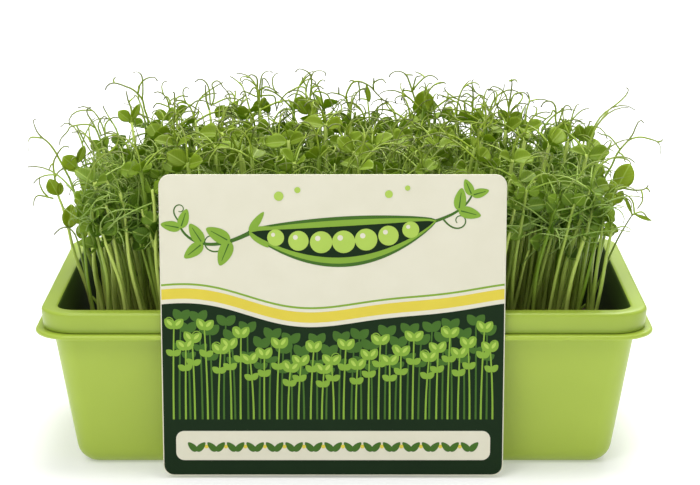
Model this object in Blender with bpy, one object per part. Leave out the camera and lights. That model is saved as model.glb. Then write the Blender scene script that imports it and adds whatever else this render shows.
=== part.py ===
"""A living tray of pea shoots: a growing tray nested in a water tray, growing mix, a paper
card on the front, and pea plants that stand in holes in the mix.

Metres, +Z up, +Y to the back. The origin is on the table under the middle of the trays.
"""

import math
import random

import bmesh
import bpy
import numpy as np
from mathutils import Matrix, Vector

MM = 0.001

# Water tray: the outer one. Its lip sticks out all round and carries the growing tray's skirt
LIP_HALF_X = 153.0 * MM
LIP_HALF_Y = 88.0 * MM
LIP_TOP_Z = 72.3 * MM
LIP_THICK = 2.4 * MM
LIP_REACH = 9.0 * MM
LIP_EDGE_R = 0.9 * MM
LIP_CORNER_R = 20.0 * MM
BODY_CORNER_R = 14.0 * MM
WALL_LEAN = 0.155
WATER_WALL = 1.8 * MM
WATER_FILLET = 9.0 * MM

# Growing tray: the inner one. Its flat rim turns outwards and down into a skirt
RIM_TOP_Z = 83.0 * MM
SKIRT_INSET = 3.0 * MM
RIM_WIDTH = 8.5 * MM
RIM_EDGE_R = 1.6 * MM
SKIRT_CORNER_R = 18.0 * MM
GROW_WALL = 1.6 * MM
GROW_FLOOR_Z = 12.0 * MM
GROW_FILLET = 8.0 * MM
TOUCH_GAP = 0.4 * MM
DRAIN_R = 3.0 * MM
DRAIN_COLUMNS = 4
DRAIN_ROWS = 2
DRAIN_PITCH_X = 56.0 * MM
DRAIN_PITCH_Y = 52.0 * MM

# Growing mix, and the holes that the plants stand in
MIX_TOP_Z = 48.0 * MM
MIX_GAP = 0.4 * MM
MIX_EDGE = 2.0 * MM
HOLE_R = 5.2 * MM
HOLE_DEPTH = 16.0 * MM
HOLE_SIDES = 6

# Paper card, and the two foam pads that stick it to the skirt
CARD_WIDTH = 167.6 * MM
CARD_HEIGHT = 151.5 * MM
CARD_THICK = 1.0 * MM
CARD_CORNER_R = 5.5 * MM
CARD_CENTRE_X = -5.4 * MM
CARD_FOOT_Z = 1.5 * MM
PAD_WIDTH = 14.0 * MM
PAD_HEIGHT = 7.0 * MM
PAD_REACH = 62.0 * MM
PAD_GAP = 0.3 * MM

CORNER_STEPS = 5
FILLET_STEPS = 3

# Pea plants: each is a seed with a root and two shoots. A shoot's length is counted in shares
# of 1 from its foot to its tip, and a leaf's from its stem to its far edge
PLANT_COLUMNS = 10
PLANT_ROWS = 4
PLANT_PITCH_X = 23.8 * MM
PLANT_PITCH_Y = 33.0 * MM
PLANT_STAGGER = 5.5 * MM
PLANT_JITTER = 2.0 * MM
SEED_R = 3.6 * MM
SEED_Z = MIX_TOP_Z - 1.0 * MM
ROOT_BEND_Z = SEED_Z - 6.0 * MM
ROOT_TIP_Z = MIX_TOP_Z - 14.0 * MM
ROOT_RADII = (1.1 * MM, 0.6 * MM)
SHOOT_RISE = 117.0 * MM
SHOOT_SPREAD = 8.0 * MM
FOOT_SPREAD = 2.4 * MM
FOOT_Z = SEED_Z + 4.5 * MM
LEAN_X = 1.13
LEAN_Y = 1.22
STEM_FOOT_R = 1.45 * MM
STEM_TIP_R = 1.05 * MM
STEM_SWAY = 1.6 * MM
NODE_SHARE = 0.02
LEAF_LENGTH = 10.0 * MM
LEAF_WIDTH = 9.0 * MM
LEAF_THICK = 0.8 * MM
TENDRIL_R = 0.6 * MM
TENDRIL_RADII = (0.75 * MM, 0.65 * MM, 0.6 * MM, 0.55 * MM)
END_TIP_X = 118.0 * MM
END_BAND = 12.0 * MM
END_TENDRIL = 15.0
STEM_STEPS = 60
TENDRIL_STEPS = 24
LEAF_ROOM_R = 1.1 * MM
CLEAR_GAP = 0.45 * MM
ROOT_ROOM = 3.0 * MM
ROOT_EASE = 0.6
TRIES = 60
SEED_OF_DRAWS = 1
THIRD = 2 * math.pi / 3
UP = Vector((0, 0, 1))


def rounded_rectangle(half_x, half_y, radius, steps=CORNER_STEPS):
    """Points round a rectangle with round corners, anticlockwise seen from above."""
    points = []
    for quarter, (side_x, side_y) in enumerate(((1, 1), (-1, 1), (-1, -1), (1, -1))):
        for step in range(steps + 1):
            angle = (quarter + step / steps) * math.pi / 2
            x = side_x * (half_x - radius) + radius * math.cos(angle)
            y = side_y * (half_y - radius) + radius * math.sin(angle)
            points.append((x, y))
    return points


def place(name, mesh, collection, finish):
    """A new object for a mesh, with its material."""
    made = bpy.data.objects.new(name, mesh)
    collection.objects.link(made)
    made.data.materials.append(finish)
    return made


def mesh_of(work, name):
    mesh = bpy.data.meshes.new(name)
    bmesh.ops.recalc_face_normals(work, faces=work.faces)
    work.to_mesh(mesh)
    work.free()
    return mesh


def material(name, colour, roughness):
    made = bpy.data.materials.new(name)
    made.use_nodes = True
    shader = made.node_tree.nodes["Principled BSDF"]
    shader.inputs["Base Color"].default_value = (*colour, 1.0)
    shader.inputs["Roughness"].default_value = roughness
    shader.inputs["Metallic"].default_value = 0.0
    return made


def loft(name, rings):
    """A closed mesh through rounded rectangles, each (half_x, half_y, corner radius, z), with
    a flat face in the first and in the last."""
    work = bmesh.new()
    loops = []
    for half_x, half_y, radius, z in rings:
        loops.append([work.verts.new((x, y, z)) for x, y in rounded_rectangle(half_x, half_y, radius)])
    work.faces.new(loops[0])
    work.faces.new(loops[-1])
    count = len(loops[0])
    for low, high in zip(loops, loops[1:]):
        for i in range(count):
            j = (i + 1) % count
            work.faces.new((low[i], low[j], high[j], high[i]))
    return mesh_of(work, name)


def wall_rings(half_x, half_y, top_z, floor_z, fillet, corner_r):
    """Rings of one leaning wall face, from its filleted foot on the floor to top_z, where it
    measures half_x by half_y."""
    rings = []
    last_turn = math.pi / 2 - math.atan(WALL_LEAN)
    for step in range(FILLET_STEPS + 1):
        turn = step / FILLET_STEPS * last_turn
        z = floor_z + fillet * (1 - math.cos(turn))
        inset = fillet * (1 - math.sin(turn)) + (top_z - z) * WALL_LEAN
        radius = corner_r - 0.6 * fillet * (1 - math.sin(turn))
        rings.append((half_x - inset, half_y - inset, radius, z))
    rings.append((half_x, half_y, corner_r, top_z))
    return rings


def water_tray_mesh():
    """The outer tray as one moulded shell: outer wall, lip, then the inner wall down again."""
    body_x, body_y = LIP_HALF_X - LIP_REACH, LIP_HALF_Y - LIP_REACH
    under_z = LIP_TOP_Z - LIP_THICK
    outer = wall_rings(body_x, body_y, under_z, 0.0, WATER_FILLET, BODY_CORNER_R)
    lip = [
        (LIP_HALF_X - LIP_EDGE_R, LIP_HALF_Y - LIP_EDGE_R, LIP_CORNER_R - LIP_EDGE_R, under_z),
        (LIP_HALF_X, LIP_HALF_Y, LIP_CORNER_R, under_z + LIP_EDGE_R),
        (LIP_HALF_X, LIP_HALF_Y, LIP_CORNER_R, LIP_TOP_Z - LIP_EDGE_R),
        (LIP_HALF_X - LIP_EDGE_R, LIP_HALF_Y - LIP_EDGE_R, LIP_CORNER_R - LIP_EDGE_R, LIP_TOP_Z),
    ]
    inner = wall_rings(
        body_x - WATER_WALL, body_y - WATER_WALL, LIP_TOP_Z, WATER_WALL,
        WATER_FILLET - WATER_WALL, BODY_CORNER_R - WATER_WALL,
    )
    return loft("water_tray", outer + lip + inner[::-1])


def rim_arc(half_x, half_y, corner_r, z, edge_r, first, last):
    """Rings of a rim's rounded edge, from angle first to last; 0 faces out and 90 up."""
    rings = []
    for step in range(FILLET_STEPS):
        turn = math.radians(first + (last - first) * step / (FILLET_STEPS - 1))
        out = edge_r * math.cos(turn)
        rings.append((half_x + out, half_y + out, corner_r + out, z + edge_r * math.sin(turn)))
    return rings


def grow_tray_mesh():
    """The inner tray: outer face of its wall, underside of the rim, skirt, rim and inner face."""
    skirt_x, skirt_y = LIP_HALF_X - SKIRT_INSET, LIP_HALF_Y - SKIRT_INSET
    inner_x, inner_y = skirt_x - RIM_WIDTH, skirt_y - RIM_WIDTH
    under_z = RIM_TOP_Z - GROW_WALL
    skirt_foot_z = LIP_TOP_Z + TOUCH_GAP
    wall_r = BODY_CORNER_R
    rings = wall_rings(
        inner_x + GROW_WALL, inner_y + GROW_WALL, under_z, GROW_FLOOR_Z, GROW_FILLET, wall_r
    )
    for half_inset, z in ((GROW_WALL, under_z), (GROW_WALL, skirt_foot_z), (0.0, skirt_foot_z)):
        rings.append((skirt_x - half_inset, skirt_y - half_inset, SKIRT_CORNER_R - half_inset, z))
    rings += rim_arc(
        skirt_x - RIM_EDGE_R, skirt_y - RIM_EDGE_R, SKIRT_CORNER_R - RIM_EDGE_R,
        RIM_TOP_Z - RIM_EDGE_R, RIM_EDGE_R, 0, 90,
    )
    inner = wall_rings(
        inner_x, inner_y, RIM_TOP_Z - RIM_EDGE_R, GROW_FLOOR_Z + GROW_WALL,
        GROW_FILLET - GROW_WALL, wall_r - GROW_WALL,
    )
    rings.append((inner_x + 0.7 * RIM_EDGE_R, inner_y + 0.7 * RIM_EDGE_R, wall_r, RIM_TOP_Z))
    return loft("grow_tray", rings + inner[::-1])


def mix_mesh():
    """The growing mix: it fills the growing tray from its floor to MIX_TOP_Z."""
    inner_x = LIP_HALF_X - SKIRT_INSET - RIM_WIDTH
    inner_y = LIP_HALF_Y - SKIRT_INSET - RIM_WIDTH
    drop = (RIM_TOP_Z - RIM_EDGE_R - MIX_TOP_Z) * WALL_LEAN
    top_x, top_y = inner_x - drop - MIX_GAP, inner_y - drop - MIX_GAP
    corner_r = BODY_CORNER_R - GROW_WALL
    floor_z = GROW_FLOOR_Z + GROW_WALL + MIX_GAP
    rings = wall_rings(top_x, top_y, MIX_TOP_Z - MIX_EDGE, floor_z, GROW_FILLET, corner_r)
    rings.append((top_x - MIX_EDGE, top_y - MIX_EDGE, corner_r - MIX_EDGE, MIX_TOP_Z))
    return loft("growing_mix", rings)


def drill(collection, point, z, radius, length, sides):
    """A cutter: an upright cylinder round a point, with its middle at z."""
    work = bmesh.new()
    bmesh.ops.create_cone(
        work, cap_ends=True, segments=sides, radius1=radius, radius2=radius, depth=length
    )
    bmesh.ops.translate(work, verts=work.verts, vec=(point[0], point[1], z))
    cutter = bpy.data.objects.new("drill", mesh_of(work, "drill"))
    collection.objects.link(cutter)
    cutter.hide_render = True
    cutter.display_type = "WIRE"


def new_collection(name):
    made = bpy.data.collections.new(name)
    bpy.context.scene.collection.children.link(made)
    return made


def cut_with(body, cutters):
    """Cuts a whole collection of cutters out of a body."""
    modifier = body.modifiers.new("holes", "BOOLEAN")
    modifier.operation = "DIFFERENCE"
    modifier.solver = "EXACT"
    modifier.operand_type = "COLLECTION"
    modifier.collection = cutters


def make_trays(parts, plastic):
    place("water_tray", water_tray_mesh(), parts, plastic)
    grow_tray = place("grow_tray", grow_tray_mesh(), parts, plastic)
    drains = new_collection("drains")
    for column in range(DRAIN_COLUMNS):
        for row in range(DRAIN_ROWS):
            x = (column - (DRAIN_COLUMNS - 1) / 2) * DRAIN_PITCH_X
            y = (row - (DRAIN_ROWS - 1) / 2) * DRAIN_PITCH_Y
            drill(drains, (x, y), GROW_FLOOR_Z, DRAIN_R, 8 * MM, 8)
    cut_with(grow_tray, drains)


def make_mix(parts, plants, finish):
    mix = place("growing_mix", mix_mesh(), parts, finish)
    holes = new_collection("plant_holes")
    for plant in plants:
        drill(holes, plant["place"], MIX_TOP_Z, HOLE_R, 2 * HOLE_DEPTH, HOLE_SIDES)
    cut_with(mix, holes)


def make_card(parts, paper, foam):
    """The card stands just in front of the lip, and foam pads stick it to the skirt."""
    curve = bpy.data.curves.new("label_card", "CURVE")
    curve.dimensions = "2D"
    curve.fill_mode = "BOTH"
    curve.extrude = CARD_THICK / 2
    outline = rounded_rectangle(CARD_WIDTH / 2, CARD_HEIGHT / 2, CARD_CORNER_R, 4)
    spline = curve.splines.new("POLY")
    spline.points.add(len(outline) - 1)
    for point, (x, y) in zip(spline.points, outline):
        point.co = (x, y, 0, 1)
    spline.use_cyclic_u = True
    card = bpy.data.objects.new("label_card", curve)
    parts.objects.link(card)
    curve.materials.append(paper)
    card_back_y = -LIP_HALF_Y - TOUCH_GAP
    card.rotation_euler = (math.pi / 2, 0, 0)
    card.location = (CARD_CENTRE_X, card_back_y - CARD_THICK / 2, CARD_FOOT_Z + CARD_HEIGHT / 2)
    pad_depth = SKIRT_INSET + TOUCH_GAP - 2 * PAD_GAP
    pad_z = (RIM_TOP_Z - RIM_EDGE_R + LIP_TOP_Z + TOUCH_GAP) / 2
    for name, side in (("card_pad_left", -1), ("card_pad_right", 1)):
        work = bmesh.new()
        bmesh.ops.create_cube(work, size=1.0)
        bmesh.ops.scale(work, verts=work.verts, vec=(PAD_WIDTH, pad_depth, PAD_HEIGHT))
        pad = place(name, mesh_of(work, name), parts, foam)
        pad.location = (CARD_CENTRE_X + side * PAD_REACH, card_back_y + PAD_GAP + pad_depth / 2, pad_z)


class Room:
    """The space that the plants already take, as balls. A new piece keeps clear of all of
    them, except that it may touch its own shoot where it grows out of it."""

    def __init__(self):
        self.centres = np.empty((0, 3))
        self.radii = np.empty(0)
        self.owners = np.empty(0, int)

    def is_clear(self, points, radius, owner, root):
        points = np.array(points)
        middle = points.mean(axis=0)
        reach = np.abs(points - middle).max() + 5 * MM
        near = np.abs(self.centres - middle).max(axis=1, initial=0) < reach
        centres = self.centres[near]
        gaps = np.linalg.norm(points[:, None] - centres[None], axis=2)
        own = self.owners[near] == owner
        rooted = np.linalg.norm(points - root, axis=1) < ROOT_ROOM
        at_root = np.linalg.norm(centres - root, axis=1) < ROOT_ROOM
        wanted = (self.radii[near] + radius + CLEAR_GAP) * np.where(own & at_root, ROOT_EASE, 1)
        return not ((gaps < wanted[None]) & ~(own[None] & rooted[:, None])).any()

    def take(self, points, radius, owner):
        self.centres = np.vstack((self.centres, np.array(points)))
        self.radii = np.concatenate((self.radii, np.full(len(points), radius)))
        self.owners = np.concatenate((self.owners, np.full(len(points), owner)))


def level(angle):
    return Vector((math.cos(angle), math.sin(angle), 0))


def canopy_rise(x, y):
    """How far above the mix a shoot ends: the canopy is a low mound, lower at its ends."""
    end_drop = 0.17 * (abs(x) / (128 * MM)) ** 4
    side_drop = 0.06 * (abs(y) / (66 * MM)) ** 2
    return SHOOT_RISE * (1 - end_drop - side_drop)


def stem_point(shoot, share):
    """A point of a stem, which leaves the seed upright, leans outwards and sways a little."""
    foot, tip = shoot["foot"], shoot["tip"]
    sway = STEM_SWAY * math.sin(math.pi * share) * math.sin(2.2 * math.pi * share + 0.6)
    point = foot + (tip - foot) * share**1.35 + sway * level(shoot["sway"])
    point.z = foot.z + (tip.z - foot.z) * share
    return point


def stem_line(shoot):
    return [stem_point(shoot, step / STEM_STEPS) for step in range(STEM_STEPS + 1)]


def leaf_point(leaf, share, across):
    """A point of a leaf's middle surface: across goes from -1 to 1 between its side edges."""
    half_width = leaf["width"] / 2 * math.sqrt(max(0.0, 1 - ((share - 0.61) / 0.46) ** 2))
    bend = leaf["bend"] * share * share
    return (
        leaf["root"]
        + leaf["length"] * (share * leaf["axis"] + bend * leaf["front"])
        + half_width * across * leaf["side"]
    )


def leaf_samples(leaf):
    return [
        leaf_point(leaf, share, across)
        for share in (0.2, 0.4, 0.6, 0.8, 1.0)
        for across in (-1, -0.5, 0, 0.5, 1)
    ]


def tendril_line(tendril):
    """Points along a tendril: it rises, bends outwards and hooks over at its tip."""
    point = tendril["root"].copy()
    line = [point.copy()]
    for step in range(TENDRIL_STEPS):
        share = (step + 0.5) / TENDRIL_STEPS
        tilt = tendril["tilt"] + tendril["bend"] * share ** tendril["hook"]
        outwards = level(tendril["heading"] + tendril["twist"] * share)
        point += tendril["length"] / TENDRIL_STEPS * (math.sin(tilt) * outwards + math.cos(tilt) * UP)
        line.append(point.copy())
    return line


def plan_shoot(draw, room, owner, place_at, turn):
    """One stem, drawn again until it stands clear of the others."""
    x, y = place_at
    foot = Vector((x, y, FOOT_Z)) + FOOT_SPREAD * level(turn)
    for _ in range(TRIES):
        spread = SHOOT_SPREAD * draw.uniform(0.7, 1.3) * level(turn + draw.uniform(-0.7, 0.7))
        tip = Vector((x * LEAN_X, y * LEAN_Y, 0)) + spread
        tip.z = MIX_TOP_Z + canopy_rise(tip.x, tip.y) * draw.uniform(0.9, 1.02)
        shoot = {
            "foot": foot,
            "tip": tip,
            "turn": turn,
            "sway": draw.uniform(0, 2 * math.pi),
            "nodes": (draw.uniform(0.58, 0.74), 1 - NODE_SHARE),
            "leaves": [],
            "tendrils": [],
        }
        if room.is_clear(stem_line(shoot), STEM_FOOT_R, owner, foot):
            break
    room.take(stem_line(shoot), STEM_FOOT_R, owner)
    return shoot


def plan_leaf(draw, room, owner, shoot, node, angle, facing):
    """A leaf on the side of the stem that faces angle, turned to show its face to facing.
    It is turned and shrunk until it is clear of all else."""
    root = stem_point(shoot, shoot["nodes"][node] + NODE_SHARE / 2) + STEM_TIP_R / 2 * level(angle)
    opening = math.copysign(1, math.remainder(angle - facing, 2 * math.pi))
    for attempt in range(TRIES):
        lift = draw.uniform(0.0, 0.5 + 0.2 * node)
        heading = level(angle + opening * draw.uniform(0.0, 0.5))
        axis = math.cos(lift) * heading + math.sin(lift) * UP
        side = UP.cross(axis).normalized()
        front = axis.cross(side)
        twist = -math.copysign(draw.uniform(0.3, 1.2), side.dot(level(facing)))
        size = draw.uniform(0.85, 1.15) * (1 - 0.4 * attempt / TRIES)
        leaf = {
            "root": root,
            "angle": angle,
            "node": node,
            "axis": axis,
            "side": math.cos(twist) * side + math.sin(twist) * front,
            "front": math.cos(twist) * front - math.sin(twist) * side,
            "length": LEAF_LENGTH * size,
            "width": LEAF_WIDTH * size,
            "bend": draw.uniform(-0.3, 0.2),
        }
        samples = leaf_samples(leaf)
        if room.is_clear(samples, LEAF_ROOM_R, owner, root):
            room.take(samples, LEAF_ROOM_R, owner)
            shoot["leaves"].append(leaf)
            return


def plan_leaves(draw, room, owner, shoot, node):
    """Two leaves, on the two sides of the stem that face outwards most."""
    centre = stem_point(shoot, shoot["nodes"][node])
    outward = math.atan2(centre.y / LIP_HALF_Y, centre.x / LIP_HALF_X) + draw.gauss(0, 0.9)
    backs = [shoot["turn"] + THIRD * i for i in range(3)]
    back = min(backs, key=lambda angle: math.cos(angle - outward))
    if node:
        shoot["back"] = back
    for angle in (back + THIRD, back - THIRD):
        plan_leaf(draw, room, owner, shoot, node, angle, back + math.pi)


def plan_tendril(draw, room, owner, shoot, from_side):
    """A tendril from the tip of the stem, or from its side behind the upper leaves."""
    tip, back = shoot["tip"], shoot["back"]
    outward = math.atan2(tip.y / LIP_HALF_Y, tip.x / LIP_HALF_X)
    edge = max(abs(tip.x) / LIP_HALF_X, abs(tip.y) / LIP_HALF_Y)
    end = min(1, max(0, (abs(tip.x) - END_TIP_X) / END_BAND))
    stray = 1.2 - 0.7 * end
    extra = 5 * edge + END_TENDRIL * end
    root = stem_point(shoot, 1 - NODE_SHARE / 2) + STEM_TIP_R / 2 * level(back) if from_side else tip
    for attempt in range(TRIES):
        tendril = {
            "root": root,
            "from_side": from_side,
            "heading": back + draw.uniform(-0.6, 0.6) if from_side else outward + draw.gauss(0, stray),
            "tilt": draw.uniform(0.7, 1.1) if from_side else draw.uniform(0.0, 0.35),
            "bend": draw.uniform(0.8, 1.8) + 0.7 * (not from_side),
            "hook": draw.uniform(1.3, 2.6),
            "twist": draw.uniform(-0.8, 0.8),
            "length": (draw.uniform(17, 26) + extra) * MM * (1 - 0.3 * attempt / TRIES),
        }
        samples = tendril_line(tendril)[2:]
        if room.is_clear(samples, TENDRIL_R, owner, root):
            room.take(samples, TENDRIL_R, owner)
            shoot["tendrils"].append(tendril)
            return


def plan_plants():
    """Where each plant, stem, leaf and tendril goes: a staggered grid, with seeded draws."""
    draw = random.Random(SEED_OF_DRAWS)
    room = Room()
    plants = []
    shoots = []
    for row in range(PLANT_ROWS):
        for column in range(PLANT_COLUMNS):
            stagger = PLANT_STAGGER if row % 2 else -PLANT_STAGGER
            x = (column - (PLANT_COLUMNS - 1) / 2) * PLANT_PITCH_X + stagger
            y = (row - (PLANT_ROWS - 1) / 2) * PLANT_PITCH_Y
            place_at = (
                x + draw.uniform(-PLANT_JITTER, PLANT_JITTER),
                y + draw.uniform(-PLANT_JITTER, PLANT_JITTER),
            )
            spin = draw.uniform(0, 2 * math.pi)
            plant = {"place": place_at, "spin": spin, "shoots": []}
            for turn in (spin, spin + 0.8 * math.pi):
                shoot = plan_shoot(draw, room, len(shoots), place_at, turn)
                shoots.append(shoot)
                plant["shoots"].append(shoot)
            plants.append(plant)
    for node in (1, 0):
        for owner, shoot in enumerate(shoots):
            plan_leaves(draw, room, owner, shoot, node)
    for from_side in (False, True):
        for owner, shoot in enumerate(shoots):
            plan_tendril(draw, room, owner, shoot, from_side)
    return plants


def extrude(work, face, corner):
    """Extrudes a face, moves each corner of its end to corner(position), and gives the end."""
    end = bmesh.ops.extrude_discrete_faces(work, faces=[face])["faces"][0]
    moves = [(vert, corner(vert.co.copy())) for vert in end.verts]
    for vert, position in moves:
        vert.co = position
    return end


def side_faces(end):
    """The side faces of the last segment of a stem."""
    return [face for edge in end.edges for face in edge.link_faces if face is not end]


def face_towards(faces, angle):
    """The one of some faces round an upright axis that points nearest to a level angle."""
    middle = sum((face.calc_center_median() for face in faces), Vector()) / len(faces)
    return max(faces, key=lambda face: (face.calc_center_median() - middle).dot(level(angle)))


def grow_stem(work, face, shoot):
    """Extrudes a stem from the seed's face through level triangles. Gives the stem's end, and
    the side faces of each node's short segment."""
    low, high = shoot["nodes"]
    node_sides = []
    for share in (0.0, 0.33, low, low + NODE_SHARE, high, 1.0):
        middle = face.calc_center_median()
        point = stem_point(shoot, share)
        radius = STEM_FOOT_R + (STEM_TIP_R - STEM_FOOT_R) * share

        def corner(position):
            angle = math.atan2(position.y - middle.y, position.x - middle.x)
            third = round((angle - shoot["turn"] - THIRD / 2) / THIRD)
            return point + radius * level(shoot["turn"] + THIRD / 2 + THIRD * third)

        face = extrude(work, face, corner)
        if share in (low + NODE_SHARE, 1.0):
            node_sides.append(side_faces(face))
    return face, node_sides


def grow_tube(work, face, heading, points, radii):
    """Extrudes a face that faces heading along points, as thick as radii says."""
    before = face.calc_center_median()
    for i, (point, radius) in enumerate(zip(points, radii)):
        after = points[min(i + 1, len(points) - 1)]
        next_heading = (after - before).normalized()
        turn = heading.rotation_difference(next_heading)
        middle = face.calc_center_median()
        face = extrude(
            work, face, lambda position: point + radius * (turn @ (position - middle)).normalized()
        )
        before, heading = point, next_heading


def grow_leaf(work, face, leaf):
    """Extrudes a leaf from the side face of a stem, through thin upright sections."""
    across_axis, thick_axis = UP.cross(level(leaf["angle"])), UP
    for share in (0.3, 0.72, 1.0) if leaf["node"] else (0.5, 1.0):
        middle = face.calc_center_median()

        def corner(position):
            offset = position - middle
            across = math.copysign(1, offset.dot(across_axis))
            thick = math.copysign(LEAF_THICK / 2, offset.dot(thick_axis))
            return leaf_point(leaf, share, across) + thick * leaf["front"]

        face = extrude(work, face, corner)
        across_axis, thick_axis = leaf["side"], leaf["front"]


def grow_plant(plant):
    """One plant as one closed mesh: stems, leaves, tendrils and root all grow out of the seed."""
    x, y = plant["place"]
    work = bmesh.new()
    bmesh.ops.create_icosphere(work, subdivisions=1, radius=SEED_R)
    top = max(work.faces, key=lambda face: face.calc_center_median().z)
    spare = plant["spin"] - math.atan2(top.calc_center_median().y, top.calc_center_median().x)
    bmesh.ops.rotate(work, verts=work.verts, matrix=Matrix.Rotation(spare, 3, "Z"))
    bmesh.ops.translate(work, verts=work.verts, vec=(x, y, SEED_Z))
    crown = sorted(work.faces, key=lambda face: -face.calc_center_median().z)[:5]
    crown_faces = [face_towards(crown, shoot["turn"]) for shoot in plant["shoots"]]
    for shoot, crown_face in zip(plant["shoots"], crown_faces):
        tip_face, node_sides = grow_stem(work, crown_face, shoot)
        back_face = face_towards(node_sides[1], shoot["back"])
        leaf_faces = [face_towards(node_sides[leaf["node"]], leaf["angle"]) for leaf in shoot["leaves"]]
        for leaf, leaf_face in zip(shoot["leaves"], leaf_faces):
            grow_leaf(work, leaf_face, leaf)
        for tendril in shoot["tendrils"]:
            line = tendril_line(tendril)
            if tendril["from_side"]:
                grow_tube(work, back_face, level(shoot["back"]), line[4::10], TENDRIL_RADII[1:])
            else:
                grow_tube(work, tip_face, UP, line[3::7], TENDRIL_RADII)
    foot = min(work.faces, key=lambda face: face.calc_center_median().z)
    root_line = [Vector((x, y, ROOT_BEND_Z)), Vector((x, y, ROOT_TIP_Z))]
    grow_tube(work, foot, -UP, root_line, ROOT_RADII)
    return mesh_of(work, "pea_plant")


def main():
    for old in list(bpy.data.objects):
        bpy.data.objects.remove(old)
    parts = new_collection("pea_shoot_tray")
    plastic = material("lime_plastic", (0.40, 0.52, 0.08), 0.42)
    earth = material("growing_mix", (0.05, 0.03, 0.02), 0.95)
    paper = material("card_paper", (0.80, 0.77, 0.62), 0.6)
    foam = material("pad_foam", (0.8, 0.8, 0.78), 0.9)
    leaf_green = material("pea_green", (0.16, 0.33, 0.05), 0.5)
    plants = plan_plants()
    make_trays(parts, plastic)
    make_mix(parts, plants, earth)
    make_card(parts, paper, foam)
    for number, plant in enumerate(plants, 1):
        place(f"pea_plant_{number:02d}", grow_plant(plant), parts, leaf_green)


main()
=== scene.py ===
"""The looks of a living tray of pea shoots: two nested lime trays, growing mix, a printed card,
and a dense stand of shoots with round leaves and branched tendrils. Metres, +Z up, +Y back."""

import math
import random

import bmesh
import bpy
import numpy as np
from mathutils import Matrix, Vector


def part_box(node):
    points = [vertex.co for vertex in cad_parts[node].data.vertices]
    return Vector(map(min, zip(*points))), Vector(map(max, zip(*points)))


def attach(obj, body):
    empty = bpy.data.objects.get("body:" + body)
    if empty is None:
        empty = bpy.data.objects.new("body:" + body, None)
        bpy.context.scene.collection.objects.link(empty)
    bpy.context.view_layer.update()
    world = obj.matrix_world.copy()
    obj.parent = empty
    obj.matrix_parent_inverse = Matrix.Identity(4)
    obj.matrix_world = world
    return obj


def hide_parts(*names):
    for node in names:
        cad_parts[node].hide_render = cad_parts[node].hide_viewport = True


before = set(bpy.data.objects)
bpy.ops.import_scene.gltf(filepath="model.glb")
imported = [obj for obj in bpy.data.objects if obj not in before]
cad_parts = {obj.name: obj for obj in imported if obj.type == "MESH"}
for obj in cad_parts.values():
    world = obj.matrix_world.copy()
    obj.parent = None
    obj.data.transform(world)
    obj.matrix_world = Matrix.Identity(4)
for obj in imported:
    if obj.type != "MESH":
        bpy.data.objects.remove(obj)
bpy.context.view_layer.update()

# Water tray: the outer tray, which holds the water. Injection-moulded polypropylene, shaped from
# its lip: the walls are drawn down from the lip plate, outside and inside.
MM = 0.001
LIP_HALF = (153.0 * MM, 88.0 * MM)
LIP_TOP_Z = 72.3 * MM
LIP_THICK = 2.4 * MM
LIP_REACH = 9.0 * MM
LIP_EDGE_R = 1.15 * MM
LIP_CORNER_R = 20.0 * MM
CORNER_SEGMENTS = 12
WALL_LEAN = 0.155
TOUCH_GAP = 0.4 * MM
WATER_WALL = 1.8 * MM
WATER_FILLET = 9.0 * MM
FILLET_SEGMENTS = 6


def block(name, low, high):
    """A block primitive between two corners, with its place in its mesh."""
    bpy.ops.object.select_all(action="DESELECT")
    low, high = Vector(low), Vector(high)
    bpy.ops.mesh.primitive_cube_add(size=1, location=(low + high) / 2)
    made = bpy.context.object
    made.name = name
    made.scale = high - low
    bpy.ops.object.transform_apply(location=True, rotation=True, scale=True)
    return made


def choose(kind, wanted):
    """In edit mode: selects only the faces, edges or corners that wanted says."""
    bpy.ops.mesh.select_mode(type=kind)
    bpy.ops.mesh.select_all(action="DESELECT")
    mesh = bpy.context.edit_object.data
    work = bmesh.from_edit_mesh(mesh)
    for item in {"VERT": work.verts, "EDGE": work.edges, "FACE": work.faces}[kind]:
        if wanted(item):
            item.select_set(True)
    bmesh.update_edit_mesh(mesh)


def level_at(z):
    """True for an edge or a face that lies level at z."""
    return lambda item: all(abs(vert.co.z - z) < 0.02 * MM for vert in item.verts)


def corner_at(z):
    """True for an edge that lies level at z between two faces that meet at a real angle."""
    return lambda edge: level_at(z)(edge) and edge.calc_face_angle(0) > 0.5


def upright(edge):
    return abs(edge.verts[0].co.z - edge.verts[1].co.z) > 1 * MM


def round_edges(wanted, radius, segments):
    choose("EDGE", wanted)
    bpy.ops.mesh.bevel(offset=radius, segments=segments, affect="EDGES", clamp_overlap=False)


def draw_wall(from_z, inset, half, to_z, lean):
    """Insets the level face at from_z until it measures half each way, then draws it to to_z as
    a wall that leans inwards on its way down."""
    choose("FACE", level_at(from_z))
    bpy.ops.mesh.inset(thickness=inset)
    bpy.ops.mesh.extrude_region_move(TRANSFORM_OT_translate={"value": (0, 0, to_z - from_z)})
    shift = (from_z - to_z) * lean
    shrink = (1 - shift / half[0], 1 - shift / half[1], 1)
    bpy.ops.transform.resize(value=shrink, center_override=(0, 0, to_z))


def linear(hex_colour):
    """A colour written as sRGB hex, as the renderer's linear values."""
    channels = [int(hex_colour[i:i + 2], 16) / 255 for i in (1, 3, 5)]
    return [c / 12.92 if c <= 0.04045 else ((c + 0.055) / 1.055) ** 2.4 for c in channels] + [1]


def add_node(finish, kind, inputs=None, **settings):
    """Adds a node to a finish: settings are its properties, and inputs are values or sockets."""
    made = finish.node_tree.nodes.new("ShaderNode" + kind)
    for name, value in settings.items():
        setattr(made, name, value)
    for name, value in (inputs or {}).items():
        if isinstance(value, bpy.types.NodeSocket):
            finish.node_tree.links.new(value, made.inputs[name])
        else:
            made.inputs[name].default_value = value
    return made


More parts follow.
